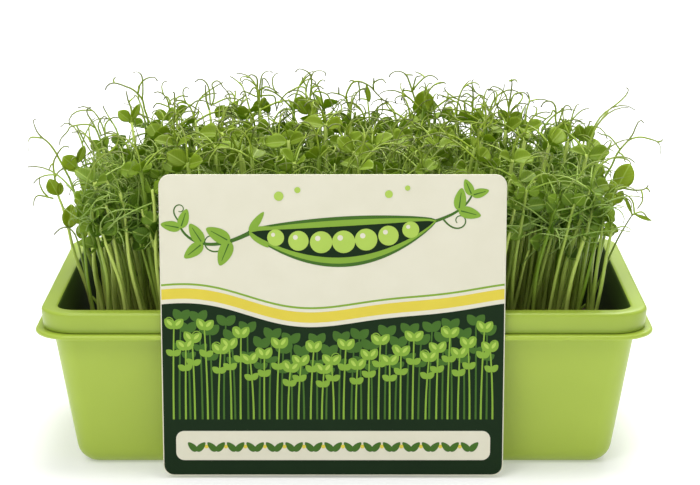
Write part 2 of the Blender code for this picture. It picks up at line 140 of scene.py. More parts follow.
def new_finish(name):
    """A finish with nothing in it yet."""
    made = bpy.data.materials.new(name)
    made.use_nodes = True
    made.node_tree.nodes.clear()
    return made


def show(finish, shader):
    """Ends a finish with its shader."""
    output = add_node(finish, "OutputMaterial")
    finish.node_tree.links.new(shader.outputs[0], output.inputs["Surface"])


def dress(piece, finish, slot, *nodes):
    """Shades a piece, gives it its finish, and sets it in the place of its CAD nodes."""
    bpy.ops.object.select_all(action="DESELECT")
    piece.select_set(True)
    bpy.context.view_layer.objects.active = piece
    bpy.ops.object.shade_smooth_by_angle(angle=math.radians(32))
    piece.data.materials.clear()
    piece.data.materials.append(finish)
    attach(piece, "root")
    if nodes:
        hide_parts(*nodes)


# Moulded polypropylene gives a soft satin gloss, with a fine orange peel about 1.5 mm across and
# faint clouds in the pigment. The inner tray carries a little painted shade, darker than the outer
# one, and the most painted shade in the last 3 mm above the lip, at the seam of skirt and lip.
SEAM_BAND = 3.0 * MM
SEAM_SHADE = 0.5
INNER_TRAY_SHADE = 0.18

polypropylene = new_finish("moulded_polypropylene")
place = add_node(polypropylene, "TexCoord").outputs["Object"]
clouds = add_node(
    polypropylene, "TexNoise", {"Vector": place, "Scale": 1 / (55.56 * MM), "Detail": 3.0}
)
pigment = add_node(
    polypropylene, "MixRGB",
    {"Fac": clouds.outputs["Fac"], "Color1": linear("#9BB237"), "Color2": linear("#A6BC41")},
)
height = add_node(polypropylene, "SeparateXYZ", {"Vector": place}).outputs["Z"]
# Painted shade: most at the skirt's foot, fading over the seam band to a light painted shade on all the
# rest of the inner tray.
above_lip = add_node(
    polypropylene, "Math", {0: height, 1: LIP_TOP_Z + TOUCH_GAP / 2}, operation="GREATER_THAN"
)
seam_shade = add_node(
    polypropylene, "MapRange",
    {
        "Value": height, "From Min": LIP_TOP_Z + TOUCH_GAP,
        "From Max": LIP_TOP_Z + TOUCH_GAP + SEAM_BAND, "To Min": SEAM_SHADE, "To Max": INNER_TRAY_SHADE,
    },
)
painted_shade_share = add_node(
    polypropylene, "Math", {0: above_lip.outputs[0], 1: seam_shade.outputs["Result"]},
    operation="MULTIPLY",
)
tray_colour = add_node(
    polypropylene, "MixRGB",
    {
        "Fac": painted_shade_share.outputs[0], "Color1": pigment.outputs["Color"],
        "Color2": linear("#6E8A1E"),
    },
)
peel = add_node(polypropylene, "TexNoise", {"Vector": place, "Scale": 1 / (1.5 * MM), "Detail": 2.0})
peel_bump = add_node(
    polypropylene, "Bump", {"Height": peel.outputs["Fac"], "Strength": 0.12, "Distance": 0.05 * MM}
)
scuffs = add_node(
    polypropylene, "MapRange", {"Value": clouds.outputs["Fac"], "To Min": 0.30, "To Max": 0.42}
)
show(polypropylene, add_node(
    polypropylene, "BsdfPrincipled",
    {
        "Base Color": tray_colour.outputs["Color"], "Roughness": scuffs.outputs["Result"],
        "IOR": 1.49, "Normal": peel_bump.outputs["Normal"],
    },
))

lip_under_z = LIP_TOP_Z - LIP_THICK
water_tray = block(
    "water_tray_shell", (-LIP_HALF[0], -LIP_HALF[1], lip_under_z), (*LIP_HALF, LIP_TOP_Z)
)
outside = [half - LIP_REACH for half in LIP_HALF]
inside = [half - WATER_WALL for half in outside]
bpy.ops.object.mode_set(mode="EDIT")
round_edges(upright, LIP_CORNER_R, CORNER_SEGMENTS)
draw_wall(lip_under_z, LIP_REACH, outside, 0.0, WALL_LEAN)
draw_wall(LIP_TOP_Z, LIP_REACH + WATER_WALL, inside, WATER_WALL, WALL_LEAN)
round_edges(level_at(0.0), WATER_FILLET, FILLET_SEGMENTS)
round_edges(level_at(WATER_WALL), WATER_FILLET - WATER_WALL, FILLET_SEGMENTS)
for z in (lip_under_z, LIP_TOP_Z):
    round_edges(corner_at(z), LIP_EDGE_R, 3)
bpy.ops.object.mode_set(mode="OBJECT")
dress(water_tray, polypropylene, "tray_plastic", "water_tray")

# Growing tray: the inner tray, of the same polypropylene. Its rim turns out and down into a skirt
# that stands on the water tray's lip, and its floor has drain holes.
RIM_TOP_Z = 83.0 * MM
SKIRT_INSET = 3.0 * MM
SKIRT_CORNER_R = 18.0 * MM
RIM_WIDTH = 8.5 * MM
RIM_EDGE_R = 1.7 * MM
SKIRT_LEAN = 0.8 * MM
GROW_WALL = 1.6 * MM
GROW_FLOOR_Z = 12.0 * MM
GROW_FILLET = 8.0 * MM
MIX_TOP_Z = 48.0 * MM
DRAIN_R = 3.0 * MM
DRILL_LENGTH = 6.0 * MM
DRAIN_PITCH = (56.0 * MM, 52.0 * MM)

skirt = [half - SKIRT_INSET for half in LIP_HALF]
skirt_foot_z = LIP_TOP_Z + TOUCH_GAP
rim_under_z = RIM_TOP_Z - GROW_WALL
cavity = [half - RIM_WIDTH for half in skirt]
growing_tray = block(
    "growing_tray_shell", (-skirt[0], -skirt[1], skirt_foot_z), (*skirt, RIM_TOP_Z)
)
bpy.ops.object.mode_set(mode="EDIT")
round_edges(upright, SKIRT_CORNER_R, CORNER_SEGMENTS)
draw_wall(RIM_TOP_Z, RIM_WIDTH, cavity, GROW_FLOOR_Z + GROW_WALL, WALL_LEAN)
draw_wall(skirt_foot_z, GROW_WALL, skirt, rim_under_z, 0.0)
draw_wall(
    rim_under_z, RIM_WIDTH - 2 * GROW_WALL, [half + GROW_WALL for half in cavity],
    GROW_FLOOR_Z, WALL_LEAN,
)
round_edges(level_at(GROW_FLOOR_Z + GROW_WALL), GROW_FILLET - GROW_WALL, FILLET_SEGMENTS)
round_edges(level_at(GROW_FLOOR_Z), GROW_FILLET, FILLET_SEGMENTS)
round_edges(corner_at(RIM_TOP_Z), RIM_EDGE_R, 4)
choose("VERT", lambda vert: abs(vert.co.z - skirt_foot_z) < 0.02 * MM)
bpy.ops.transform.resize(
    value=(1 - SKIRT_LEAN / skirt[0], 1 - SKIRT_LEAN / skirt[1], 1), center_override=(0, 0, 0)
)
bpy.ops.object.mode_set(mode="OBJECT")
for column in (-1.5, -0.5, 0.5, 1.5):
    for row in (-0.5, 0.5):
        drain_place = (column * DRAIN_PITCH[0], row * DRAIN_PITCH[1], GROW_FLOOR_Z)
        bpy.ops.mesh.primitive_cylinder_add(
            vertices=20, radius=DRAIN_R, depth=DRILL_LENGTH, location=drain_place
        )
        drill = bpy.context.object
        hole = growing_tray.modifiers.new("drain", "BOOLEAN")
        hole.object = drill
        bpy.context.view_layer.objects.active = growing_tray
        bpy.ops.object.modifier_apply(modifier=hole.name)
        bpy.data.objects.remove(drill)
dress(growing_tray, polypropylene, "tray_plastic", "grow_tray")

# Inside, the same plastic carries painted shade: dark and mottled, darkest low down.
INSIDE_SHADE_FADE_Z = (66.0 * MM, 84.0 * MM)
INSIDE_SHADE_TOP_Z = RIM_TOP_Z - 0.4 * RIM_EDGE_R
INSIDE_SHADE_REACH = 0.4 * MM

inside_shade_plastic = new_finish("polypropylene_painted_shade")
place = add_node(inside_shade_plastic, "TexCoord").outputs["Object"]
height = add_node(inside_shade_plastic, "SeparateXYZ", {"Vector": place}).outputs["Z"]
inside_mottle = add_node(inside_shade_plastic, "TexNoise", {"Vector": place, "Scale": 1 / (9 * MM), "Detail": 5.0})
# The painted shade fades from darkest low down to lighter near the rim.
inside_shade_fade = add_node(
    inside_shade_plastic, "MapRange",
    {"Value": height, "From Min": INSIDE_SHADE_FADE_Z[0], "From Max": INSIDE_SHADE_FADE_Z[1]},
)
deep_shade_colour = add_node(
    inside_shade_plastic, "MixRGB",
    {"Fac": inside_mottle.outputs["Fac"], "Color1": linear("#101C06"), "Color2": linear("#22340E")},
)
inside_shade_colour = add_node(
    inside_shade_plastic, "MixRGB",
    {
        "Fac": inside_shade_fade.outputs["Result"], "Color1": deep_shade_colour.outputs["Color"],
        "Color2": linear("#3E561A"),
    },
)
show(inside_shade_plastic, add_node(
    inside_shade_plastic, "BsdfPrincipled",
    {
        "Base Color": inside_shade_colour.outputs["Color"], "Roughness": 0.6, "Specular IOR Level": 0.2,
    },
))
growing_tray.data.materials.append(inside_shade_plastic)
# Faces inside the cavity and on its floor take the painted shade.
for face in growing_tray.data.polygons:
    centre, normal = face.center, face.normal
    inward = normal.x * centre.x + normal.y * centre.y < 0
    on_floor = normal.z > 0.5 and centre.z < MIX_TOP_Z
    within = all(abs(centre[axis]) < cavity[axis] + INSIDE_SHADE_REACH for axis in (0, 1))
    if centre.z < INSIDE_SHADE_TOP_Z and within and (inward or on_floor):
        face.material_index = 1

# Growing mix: damp coir and peat, pressed into the tray and loose on top, with crumbs that lie on
# it. The pea seeds were sown on it and have rooted.
MIX_GAP = 0.4 * MM
MIX_CORNER_R = 12.4 * MM
MIX_GRAIN = 2.4 * MM
MIX_ROUGHNESS = 2.2 * MM
CRUMBS = 900
CRUMB_R = (0.5 * MM, 1.4 * MM)
CRUMB_Z = MIX_TOP_Z - 0.6 * MM
CRUMB_MARGIN = 4.0 * MM

draw = random.Random(11)
mix_drop = [(rim_under_z - z) * WALL_LEAN for z in (MIX_TOP_Z, GROW_FLOOR_Z + GROW_WALL)]
mix_top = [half - mix_drop[0] - MIX_GAP for half in cavity]
mix_foot_z = GROW_FLOOR_Z + GROW_WALL + MIX_GAP
mix = block("growing_mix_bed", (-mix_top[0], -mix_top[1], mix_foot_z), (*mix_top, MIX_TOP_Z))
bpy.ops.object.mode_set(mode="EDIT")
round_edges(upright, MIX_CORNER_R, 6)
choose("FACE", level_at(mix_foot_z))
mix_shift = mix_drop[1] - mix_drop[0]
bpy.ops.transform.resize(
    value=(1 - mix_shift / mix_top[0], 1 - mix_shift / mix_top[1], 1), center_override=(0, 0, 0)
)
round_edges(level_at(mix_foot_z), GROW_FILLET, 3)
bpy.ops.object.mode_set(mode="OBJECT")
remesh = mix.modifiers.new("grain", "REMESH")
remesh.mode = "VOXEL"
remesh.voxel_size = MIX_GRAIN
bpy.ops.object.modifier_apply(modifier=remesh.name)
top_corners = mix.vertex_groups.new(name="top")
top_corners.add([v.index for v in mix.data.vertices if v.co.z > MIX_TOP_Z - 1 * MM], 1.0, "REPLACE")
lumps = bpy.data.textures.new("lumps", "CLOUDS")
lumps.noise_scale = 6 * MM
lumps.noise_depth = 3
loosen = mix.modifiers.new("loosen", "DISPLACE")
loosen.texture = lumps
loosen.direction = "Z"
loosen.vertex_group = "top"
loosen.mid_level = 0.7
loosen.strength = 2 * MIX_ROUGHNESS
bpy.ops.object.modifier_apply(modifier=loosen.name)
mix.vertex_groups.clear()

# Damp coir is dark brown and matt, with paler fibres and specks 1 to 3 mm across.
coir = new_finish("damp_coir")
place = add_node(coir, "TexCoord").outputs["Object"]
specks = add_node(coir, "TexNoise", {"Vector": place, "Scale": 1 / (2.5 * MM), "Detail": 6.0})
speck_share = add_node(
    coir, "MapRange", {"Value": specks.outputs["Fac"], "From Min": 0.42, "From Max": 0.68}
)
coir_colour = add_node(
    coir, "MixRGB",
    {"Fac": speck_share.outputs["Result"], "Color1": linear("#1C120B"), "Color2": linear("#5A4028")},
)
coir_bump = add_node(
    coir, "Bump", {"Height": specks.outputs["Fac"], "Strength": 0.9, "Distance": 0.8 * MM}
)
show(coir, add_node(
    coir, "BsdfPrincipled",
    {
        "Base Color": coir_colour.outputs["Color"], "Roughness": 0.9,
        "Normal": coir_bump.outputs["Normal"],
    },
))
dress(mix, coir, "growing_mix", "growing_mix")


def blank_of(piece):
    """The corners of a modelled blank, and its faces as lists of corners. The blank is removed."""
    corners = np.array([tuple(vert.co) for vert in piece.data.vertices])
    faces = [tuple(face.vertices) for face in piece.data.polygons]
    bpy.data.objects.remove(piece)
    return corners, faces


def piece_of(name, copies):
    """One piece out of many copies of blanks, each (corners, faces, growth, finish number).
    Growth is kept as an attribute: the share along, the place across, and a tint of its own."""
    corners = np.vstack([copy[0] for copy in copies])
    growth = np.vstack([copy[2] for copy in copies])
    faces = []
    numbers = []
    start = 0
    for copy_corners, copy_faces, _, number in copies:
        faces += [tuple(start + corner for corner in face) for face in copy_faces]
        numbers += [number] * len(copy_faces)
        start += len(copy_corners)
    mesh = bpy.data.meshes.new(name)
    mesh.from_pydata(corners.tolist(), [], faces)
    mesh.polygons.foreach_set("material_index", numbers)
    mesh.attributes.new("growth", "FLOAT_VECTOR", "POINT").data.foreach_set("vector", growth.ravel())
    mesh.shade_smooth()
    made = bpy.data.objects.new(name, mesh)
    bpy.context.scene.collection.objects.link(made)
    return made


bpy.ops.object.select_all(action="DESELECT")
bpy.ops.mesh.primitive_ico_sphere_add(subdivisions=1, radius=1)
crumb_corners, crumb_faces = blank_of(bpy.context.object)
crumbs = []
for _ in range(CRUMBS):
    at = Vector((*(draw.uniform(-1, 1) * (half - CRUMB_MARGIN) for half in mix_top), CRUMB_Z))
    turn = Matrix.Rotation(draw.uniform(0, math.pi), 3, Vector((draw.random(), draw.random(), 1)))
    stretch = np.array([draw.uniform(*CRUMB_R) for _ in range(3)])
    knocks = np.array([[draw.uniform(0.75, 1.15)] for _ in crumb_corners])
    corners = (crumb_corners * stretch * knocks) @ np.array(turn).T + np.array(at)
    crumbs.append((corners, crumb_faces, np.zeros_like(corners), 0))
dress(piece_of("mix_crumbs", crumbs), coir, "growing_mix")

# Card: printed board, die-cut with round corners, stuck to the skirt by two foam pads. Its inks
# are flat shapes that lie a few hundredths of a millimetre proud, one over the other.
CARD_WIDTH = 167.6
CARD_HEIGHT = 151.5
CARD_CORNER_R = 5.5
CARD_CENTRE_X = -5.4 * MM
CARD_FOOT_Z = 1.5 * MM
CARD_BACK_Y = -LIP_HALF[1] - TOUCH_GAP
CARD_FRONT_Y = CARD_BACK_Y - 1.0 * MM
CARD_EDGE_R = 0.2 * MM
INK_THICK = 0.04 * MM
INK_STEP = 0.003 * MM
PRINT_MARGIN = 0.5

card_half = CARD_WIDTH * MM / 2
card = block(
    "label_board", (CARD_CENTRE_X - card_half, CARD_FRONT_Y, CARD_FOOT_Z),
    (CARD_CENTRE_X + card_half, CARD_BACK_Y, CARD_FOOT_Z + CARD_HEIGHT * MM),
)
bpy.ops.object.mode_set(mode="EDIT")
round_edges(
    lambda edge: abs(edge.verts[0].co.y - edge.verts[1].co.y) > 0.5 * MM, CARD_CORNER_R * MM, 8
)
round_edges(
    lambda edge: all(abs(vert.co.y - CARD_FRONT_Y) < 0.01 * MM for vert in edge.verts), CARD_EDGE_R, 2
)
bpy.ops.object.mode_set(mode="OBJECT")


def printed(name, hex_colour, darker_hex, roughness):
    """Coated board and offset ink: an even satin film, with a fine tooth about 0.5 mm across and
    a faint cloudiness."""
    finish = new_finish(name)
    place = add_node(finish, "TexCoord").outputs["Object"]
    cloud = add_node(
        finish, "TexNoise", {"Vector": place, "Scale": 1 / (16.67 * MM), "Detail": 4.0}
    )
    colour = add_node(
        finish, "MixRGB",
        {
            "Fac": cloud.outputs["Fac"], "Color1": linear(hex_colour),
            "Color2": linear(darker_hex),
        },
    )
    tooth = add_node(finish, "TexNoise", {"Vector": place, "Scale": 1 / (0.5 * MM), "Detail": 1.0})
    bump = add_node(
        finish, "Bump", {"Height": tooth.outputs["Fac"], "Strength": 0.1, "Distance": 0.02 * MM}
    )
    show(finish, add_node(
        finish, "BsdfPrincipled",
        {
            "Base Color": colour.outputs["Color"], "Roughness": roughness,
            "Specular IOR Level": 0.12, "Normal": bump.outputs["Normal"],
        },
    ))
    return finish


board = printed("coated_board", "#DEDBC8", "#D5D2BC", 0.5)
dress(card, board, "card_paper", "label_card")


def wave(u):
    """The height of the print's dark ground at a place across the card, in millimetres."""
    return 82 - 5.5 * math.cos(u / 27) + 1.5 * math.sin(u / 13)


def round_outline(u, v, half_u, half_v, radius):
    """A rectangle with round corners round (u, v)."""
    points = []
    for quarter, (side_u, side_v) in enumerate(((1, 1), (-1, 1), (-1, -1), (1, -1))):
        for step in range(7):
            angle = (quarter + step / 6) * math.pi / 2
            points.append((
                u + side_u * (half_u - radius) + radius * math.cos(angle),
                v + side_v * (half_v - radius) + radius * math.sin(angle),
            ))
    return points


def disc(u, v, radius):
    return round_outline(u, v, radius, radius, radius)


def leaf_outline(u, v, length, width, angle, point=1.5):
    """A leaf that grows from (u, v) at an angle, round at its foot and pointed at its end."""
    points = []
    for step in range(28):
        turn = step / 28 * 2 * math.pi
        along = length * (1 - math.cos(turn)) / 2
        across = width / 2 * math.sin(turn) * (1 - 0.45 * (along / length) ** point)
        points.append((
            u + along * math.cos(angle) - across * math.sin(angle),
            v + along * math.sin(angle) + across * math.cos(angle),
        ))
    return points


def stroke(line, start_width, end_width):
    """The outline of a stroke along a line, which gets thinner on its way."""
    left, right = [], []
    for i, (u, v) in enumerate(line):
        before, after = line[max(0, i - 1)], line[min(len(line) - 1, i + 1)]
        slope = math.atan2(after[1] - before[1], after[0] - before[0])
        half = (start_width + (end_width - start_width) * i / (len(line) - 1)) / 2
        left.append((u - half * math.sin(slope), v + half * math.cos(slope)))
        right.append((u + half * math.sin(slope), v - half * math.cos(slope)))
    return left + right[::-1]


def curl(u, v, angle, length, turn, steps=22):
    """A line that sets off at an angle and curls up tighter and tighter."""
    line = [(u, v)]
    for step in range(steps):
        share = (step + 0.5) / steps
        heading = angle + turn * share ** 2
        u += length / steps * math.cos(heading)
        v += length / steps * math.sin(heading)
        line.append((u, v))
    return line


def print_ink(name, finish, layer, outlines):
    """One ink of the print: flat shapes on the front of the card, as one piece."""
    bpy.ops.object.select_all(action="DESELECT")
    for number, outline in enumerate(outlines):
        curve = bpy.data.curves.new(name, "CURVE")
        curve.dimensions = "2D"
        curve.fill_mode = "BOTH"
        spline = curve.splines.new("POLY")
        spline.points.add(len(outline) - 1)
        for point, (u, v) in zip(spline.points, outline):
            point.co = (u * MM, v * MM, 0, 1)
        spline.use_cyclic_u = True
        shape = bpy.data.objects.new(name, curve)
        curve.extrude = INK_THICK / 2
        bpy.context.scene.collection.objects.link(shape)
        shape.rotation_euler = (math.pi / 2, 0, 0)
        front_y = CARD_FRONT_Y - (layer - 0.5) * INK_THICK - number % 11 * INK_STEP
        shape.location = (CARD_CENTRE_X, front_y, CARD_FOOT_Z)
        shape.select_set(True)
        bpy.context.view_layer.objects.active = shape
    bpy.ops.object.convert(target="MESH")
    if len(outlines) > 1:
        bpy.ops.object.join()
    made = bpy.context.object
    made.name = name
    bpy.ops.object.transform_apply(location=True, rotation=True, scale=True)
    bpy.ops.object.mode_set(mode="EDIT")
    bpy.ops.mesh.select_all(action="SELECT")
    bpy.ops.mesh.remove_doubles(threshold=0.002 * MM)
    bpy.ops.object.mode_set(mode="OBJECT")
    dress(made, finish, "card_paper")


# The grounds of the print, in millimetres from the middle of the card's foot: a dark one below a
# wave, two bands that follow the wave, each from one height over it to another, and a footer.
BANDS = ((2.2, 7.4), (9.0, 10.0))
FOOTER_V = 15.5
FOOTER_HALF = 7.5
FOOTER_MARGIN = 6.0
FOOTER_CORNER_R = 4.0

half_u = CARD_WIDTH / 2 - PRINT_MARGIN
ground_steps = [half_u - 2 * half_u * step / 60 for step in range(61)]
ground_foot = round_outline(
    0, CARD_HEIGHT / 2, half_u, CARD_HEIGHT / 2 - PRINT_MARGIN, CARD_CORNER_R - PRINT_MARGIN
)[14:]
ground = [(u, wave(u)) for u in ground_steps] + ground_foot
bands = [
    [(u, wave(u) + low) for u in ground_steps] + [(u, wave(u) + high) for u in ground_steps[::-1]]
    for low, high in BANDS
]
footer = round_outline(0, FOOTER_V, half_u - FOOTER_MARGIN, FOOTER_HALF, FOOTER_CORNER_R)

# The sprouts on the dark ground: a tall row behind in mid green, a row in front in leaf green. Each
# has a pair of round leaves at its tip and a smaller pair below, as (length, width).
SPROUT_PITCH = 5.6
SPROUT_FOOT = 29.0
SPROUT_WIDTHS = (0.95, 0.7)
TIP_LEAF = (6.4, 4.6)
LOW_LEAF = (4.4, 3.2)
LEAF_LIGHT = (3.6, 1.5)
SPROUT_POINT = 4.0

draw = random.Random(5)
back_sprouts, front_stems, front_leaves, leaf_lights = [], [], [], []
for number in range(-28, 29):
    in_front = number % 2 == 0
    u = number * SPROUT_PITCH / 2 + draw.uniform(-0.6, 0.6)
    drop = (16, 9, 20)[number // 2 % 3] if in_front else (5, 11)[number // 2 % 2]
    tip_v = wave(u) - drop - 3
    sway = draw.uniform(-1.6, 1.6)
    stem = [
        (u + sway * (step / 10) ** 2, SPROUT_FOOT + (tip_v - SPROUT_FOOT) * step / 10)
        for step in range(11)
    ]
    stems = front_stems if in_front else back_sprouts
    leaves = front_leaves if in_front else back_sprouts
    stems.append(stroke(stem, *SPROUT_WIDTHS))
    tip_u = stem[-1][0]
    for side in (-1, 1):
        spread = math.pi / 2 - side * draw.uniform(0.55, 0.8)
        leaves.append(leaf_outline(tip_u, tip_v - 0.4, *TIP_LEAF, spread, SPROUT_POINT))
        leaves.append(leaf_outline(*stem[7], *LOW_LEAF, spread - side * 0.2, SPROUT_POINT))
        if in_front:
            light_at = (tip_u + 1.4 * math.cos(spread), tip_v + 1.4 * math.sin(spread))
            leaf_lights.append(leaf_outline(*light_at, *LEAF_LIGHT, spread, SPROUT_POINT))
    if number % 4 == 0:
        tendril = curl(tip_u, tip_v, math.pi / 2 - sway / 8, 10.0, math.copysign(4.2, sway))
        stems.append(stroke(tendril, 0.6, 0.35))

# The pod, open to show seven peas, on a vine with curls and with leaf pairs, each as its share of
# the vine and its size. Loose peas lie above.
POD_AT = (5.0, 122.5)
POD_LENGTH = 92.0
POD_WIDTH = 25.0
POD_TURN = 0.06
PEAS = 7
LEFT_LEAVES = ((0.3, 13.0), (0.62, 11.4), (0.94, 9.8))
RIGHT_LEAVES = ((0.55, 11.0), (0.96, 8.5))
LOOSE_PEAS = ((-26, 141, 2.3), (-17, 144, 1.5), (27, 142, 1.9), (36, 145, 1.3))
CALYX_ANGLES = (-0.7, 0.15, 0.95)


def pod_place(along, across):
    """A place on the pod, whose middle line is a shallow arc: along goes from -1 to 1."""
    u = POD_LENGTH / 2 * along
    v = across - 8.0 * (1 - along * along) + 4.0
    cos, sin = math.cos(POD_TURN), math.sin(POD_TURN)
    return POD_AT[0] + u * cos - v * sin, POD_AT[1] + u * sin + v * cos


def pod_outline(share):
    """The pod's outline, or a narrower one inside it."""
    steps = [step / 30 for step in range(31)]
    reach = 0.9 + 0.1 * share
    halves = [share * POD_WIDTH / 2 * math.sin(math.pi * step) ** 0.75 for step in steps]
    upper = [pod_place(reach * (1 - 2 * step), half) for step, half in zip(steps, halves)]
    lower = [pod_place(reach * (2 * step - 1), -half) for step, half in zip(steps, halves)]
    return upper + lower[1:-1]


def leaf_pair_outlines(line, share, size):
    """Two leaves on the two sides of a line, at a share of it, and their midribs."""
    at = int(share * (len(line) - 1))
    u, v = line[at]
    before = line[max(0, at - 1)]
    slope = math.atan2(v - before[1], u - before[0])
    pair, ribs = [], []
    for side in (-1, 1):
        angle = slope + side * 0.85
        pair.append(leaf_outline(u, v, size, 0.62 * size, angle))
        rib = [(u + far * size * math.cos(angle), v + far * size * math.sin(angle)) for far in (0.1, 0.8)]
        ribs.append(stroke(rib, 0.7, 0.3))
    return pair, ribs


peas, pea_lights = [], []
for number in range(PEAS):
    along = (number - (PEAS - 1) / 2) / (PEAS - 1) * 1.42
    radius = 5.6 - 3.0 * along * along
    u, v = pod_place(along, 0.0)
    peas.append(disc(u, v, radius))
    pea_lights.append(disc(u - 0.3 * radius, v + 0.35 * radius, 0.24 * radius))
left_vine = curl(*pod_place(-0.96, 0.0), math.pi + 0.45, 42.0, -1.9)
right_vine = curl(*pod_place(0.96, 0.0), 0.35, 24.0, 0.9)
calyx = [leaf_outline(*pod_place(-0.98, 0.0), 12.0, 4.4, angle) for angle in CALYX_ANGLES]
vines = [stroke(left_vine, 2.2, 0.9), stroke(right_vine, 1.6, 0.8)]
vine_leaves, vine_ribs = [], []
for line, leaf_pairs in ((left_vine, LEFT_LEAVES), (right_vine, RIGHT_LEAVES)):
    for share, size in leaf_pairs:
        pair, ribs = leaf_pair_outlines(line, share, size)
        vine_leaves += pair
        vine_ribs += ribs
curls = [
    stroke(curl(*left_vine[5], 4.0, 30.0, -6.5, 40), 0.9, 0.45),
    stroke(curl(*left_vine[-1], 2.2, 16.0, -6.0, 40), 0.8, 0.4),
    stroke(curl(*right_vine[4], -0.9, 24.0, 6.5, 40), 0.9, 0.45),
]
loose_peas = [disc(*pea) for pea in LOOSE_PEAS]

# The footer: fifteen small leaf pairs, with a dot between each two.
FOOTER_PITCH = 9.6

footer_leaves = [
    leaf_outline(number * FOOTER_PITCH, 12.6, 6.2, 3.8, math.pi / 2 + side * 0.75)
    for number in range(-7, 8) for side in (-1, 1)
]
footer_dots = [disc((number + 0.5) * FOOTER_PITCH, 15.0, 1.0) for number in range(-7, 7)]

dark_ink = printed("dark_green_ink", "#132B11", "#0E240D", 0.5)
deep_ink = printed("mid_green_ink", "#476F28", "#3C6222", 0.42)
leaf_ink = printed("leaf_green_ink", "#86AC3E", "#7A9F36", 0.42)
lime_ink = printed("lime_ink", "#AECB5C", "#A4C152", 0.42)
mustard_ink = printed("mustard_ink", "#DCCB4C", "#D2C044", 0.42)
cream_ink = printed("cream_ink", "#DEDBC8", "#D5D2BC", 0.42)
print_ink("print_ground", dark_ink, 1, [ground])
print_ink("print_bands", mustard_ink, 1, bands[:1])
print_ink("print_band_thin", leaf_ink, 1, bands[1:])
print_ink("print_footer", cream_ink, 2, [footer])
print_ink("print_sprouts_behind", deep_ink, 2, back_sprouts)
print_ink("print_sprout_stems", leaf_ink, 3, front_stems)
print_ink("print_sprout_leaves", leaf_ink, 4, front_leaves)
print_ink("print_sprout_lights", lime_ink, 5, leaf_lights)
print_ink("print_pod_edge", deep_ink, 2, [*curls, *vines, pod_outline(1.0)])
print_ink("print_pod_skin", leaf_ink, 3, [*vine_leaves, pod_outline(0.86), *calyx])
print_ink("print_pod_hollow", dark_ink, 4, [pod_outline(0.62)])
print_ink("print_peas", lime_ink, 5, peas + loose_peas)
print_ink("print_pea_lights", cream_ink, 6, pea_lights)
print_ink("print_leaf_ribs", deep_ink, 4, vine_ribs)
print_ink("print_footer_leaves", deep_ink, 3, footer_leaves)
print_ink("print_footer_dots", mustard_ink, 3, footer_dots)

# Card pads: two pads of closed-cell polyethylene foam, sticky on both faces, that hold the card to
# the skirt. The foam is white and matt, with pores about 0.6 mm across.
PAD_EDGE_R = 0.5 * MM

foam = new_finish("polyethylene_foam")
place = add_node(foam, "TexCoord").outputs["Object"]
pores = add_node(foam, "TexVoronoi", {"Vector": place, "Scale": 1 / (0.6 * MM)})
pore_colour = add_node(
    foam, "MixRGB",
    {"Fac": pores.outputs["Distance"], "Color1": linear("#F2F2EE"), "Color2": linear("#D8D8D2")},
)
pore_bump = add_node(
    foam, "Bump", {"Height": pores.outputs["Distance"], "Strength": 0.5, "Distance": 0.2 * MM}
)
show(foam, add_node(
    foam, "BsdfPrincipled",
    {
        "Base Color": pore_colour.outputs["Color"], "Roughness": 0.85,
        "Normal": pore_bump.outputs["Normal"],
    },
))
for name in ("card_pad_left", "card_pad_right"):
    low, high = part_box(name)
    pad = block(name + "_foam", low, high)
    bpy.ops.object.mode_set(mode="EDIT")
    round_edges(lambda edge: True, PAD_EDGE_R, 3)
    bpy.ops.object.mode_set(mode="OBJECT")
    dress(pad, foam, "pad_foam", name)

# Pea plants: where each seed, stem, leaf and tendril grows. This is the same plan, with the same
# seeded draws, as the model's own plants follow, so that the fine plants stand in their places.
PLANT_COLUMNS = 10
PLANT_ROWS = 4
PLANT_PITCH_X = 23.8 * MM
PLANT_PITCH_Y = 33.0 * MM
PLANT_STAGGER = 5.5 * MM
PLANT_JITTER = 2.0 * MM
SEED_R = 3.6 * MM
SEED_Z = MIX_TOP_Z - 1.0 * MM
ROOT_BEND_Z = SEED_Z - 6.0 * MM
ROOT_TIP_Z = MIX_TOP_Z - 14.0 * MM
SHOOT_RISE = 117.0 * MM
SHOOT_SPREAD = 8.0 * MM
FOOT_SPREAD = 2.4 * MM
FOOT_Z = SEED_Z + 4.5 * MM
LEAN_X = 1.13
LEAN_Y = 1.22
STEM_FOOT_R = 1.45 * MM
STEM_TIP_R = 1.05 * MM
STEM_SWAY = 1.6 * MM
NODE_SHARE = 0.02
LEAF_LENGTH = 10.0 * MM
LEAF_WIDTH = 9.0 * MM
TENDRIL_R = 0.6 * MM
END_TIP_X = 118.0 * MM
END_BAND = 12.0 * MM
END_TENDRIL = 15.0
STEM_STEPS = 60
TENDRIL_STEPS = 24
LEAF_ROOM_R = 1.1 * MM
CLEAR_GAP = 0.45 * MM
ROOT_ROOM = 3.0 * MM
ROOT_EASE = 0.6
TRIES = 60
SEED_OF_DRAWS = 1
THIRD = 2 * math.pi / 3
UP = Vector((0, 0, 1))


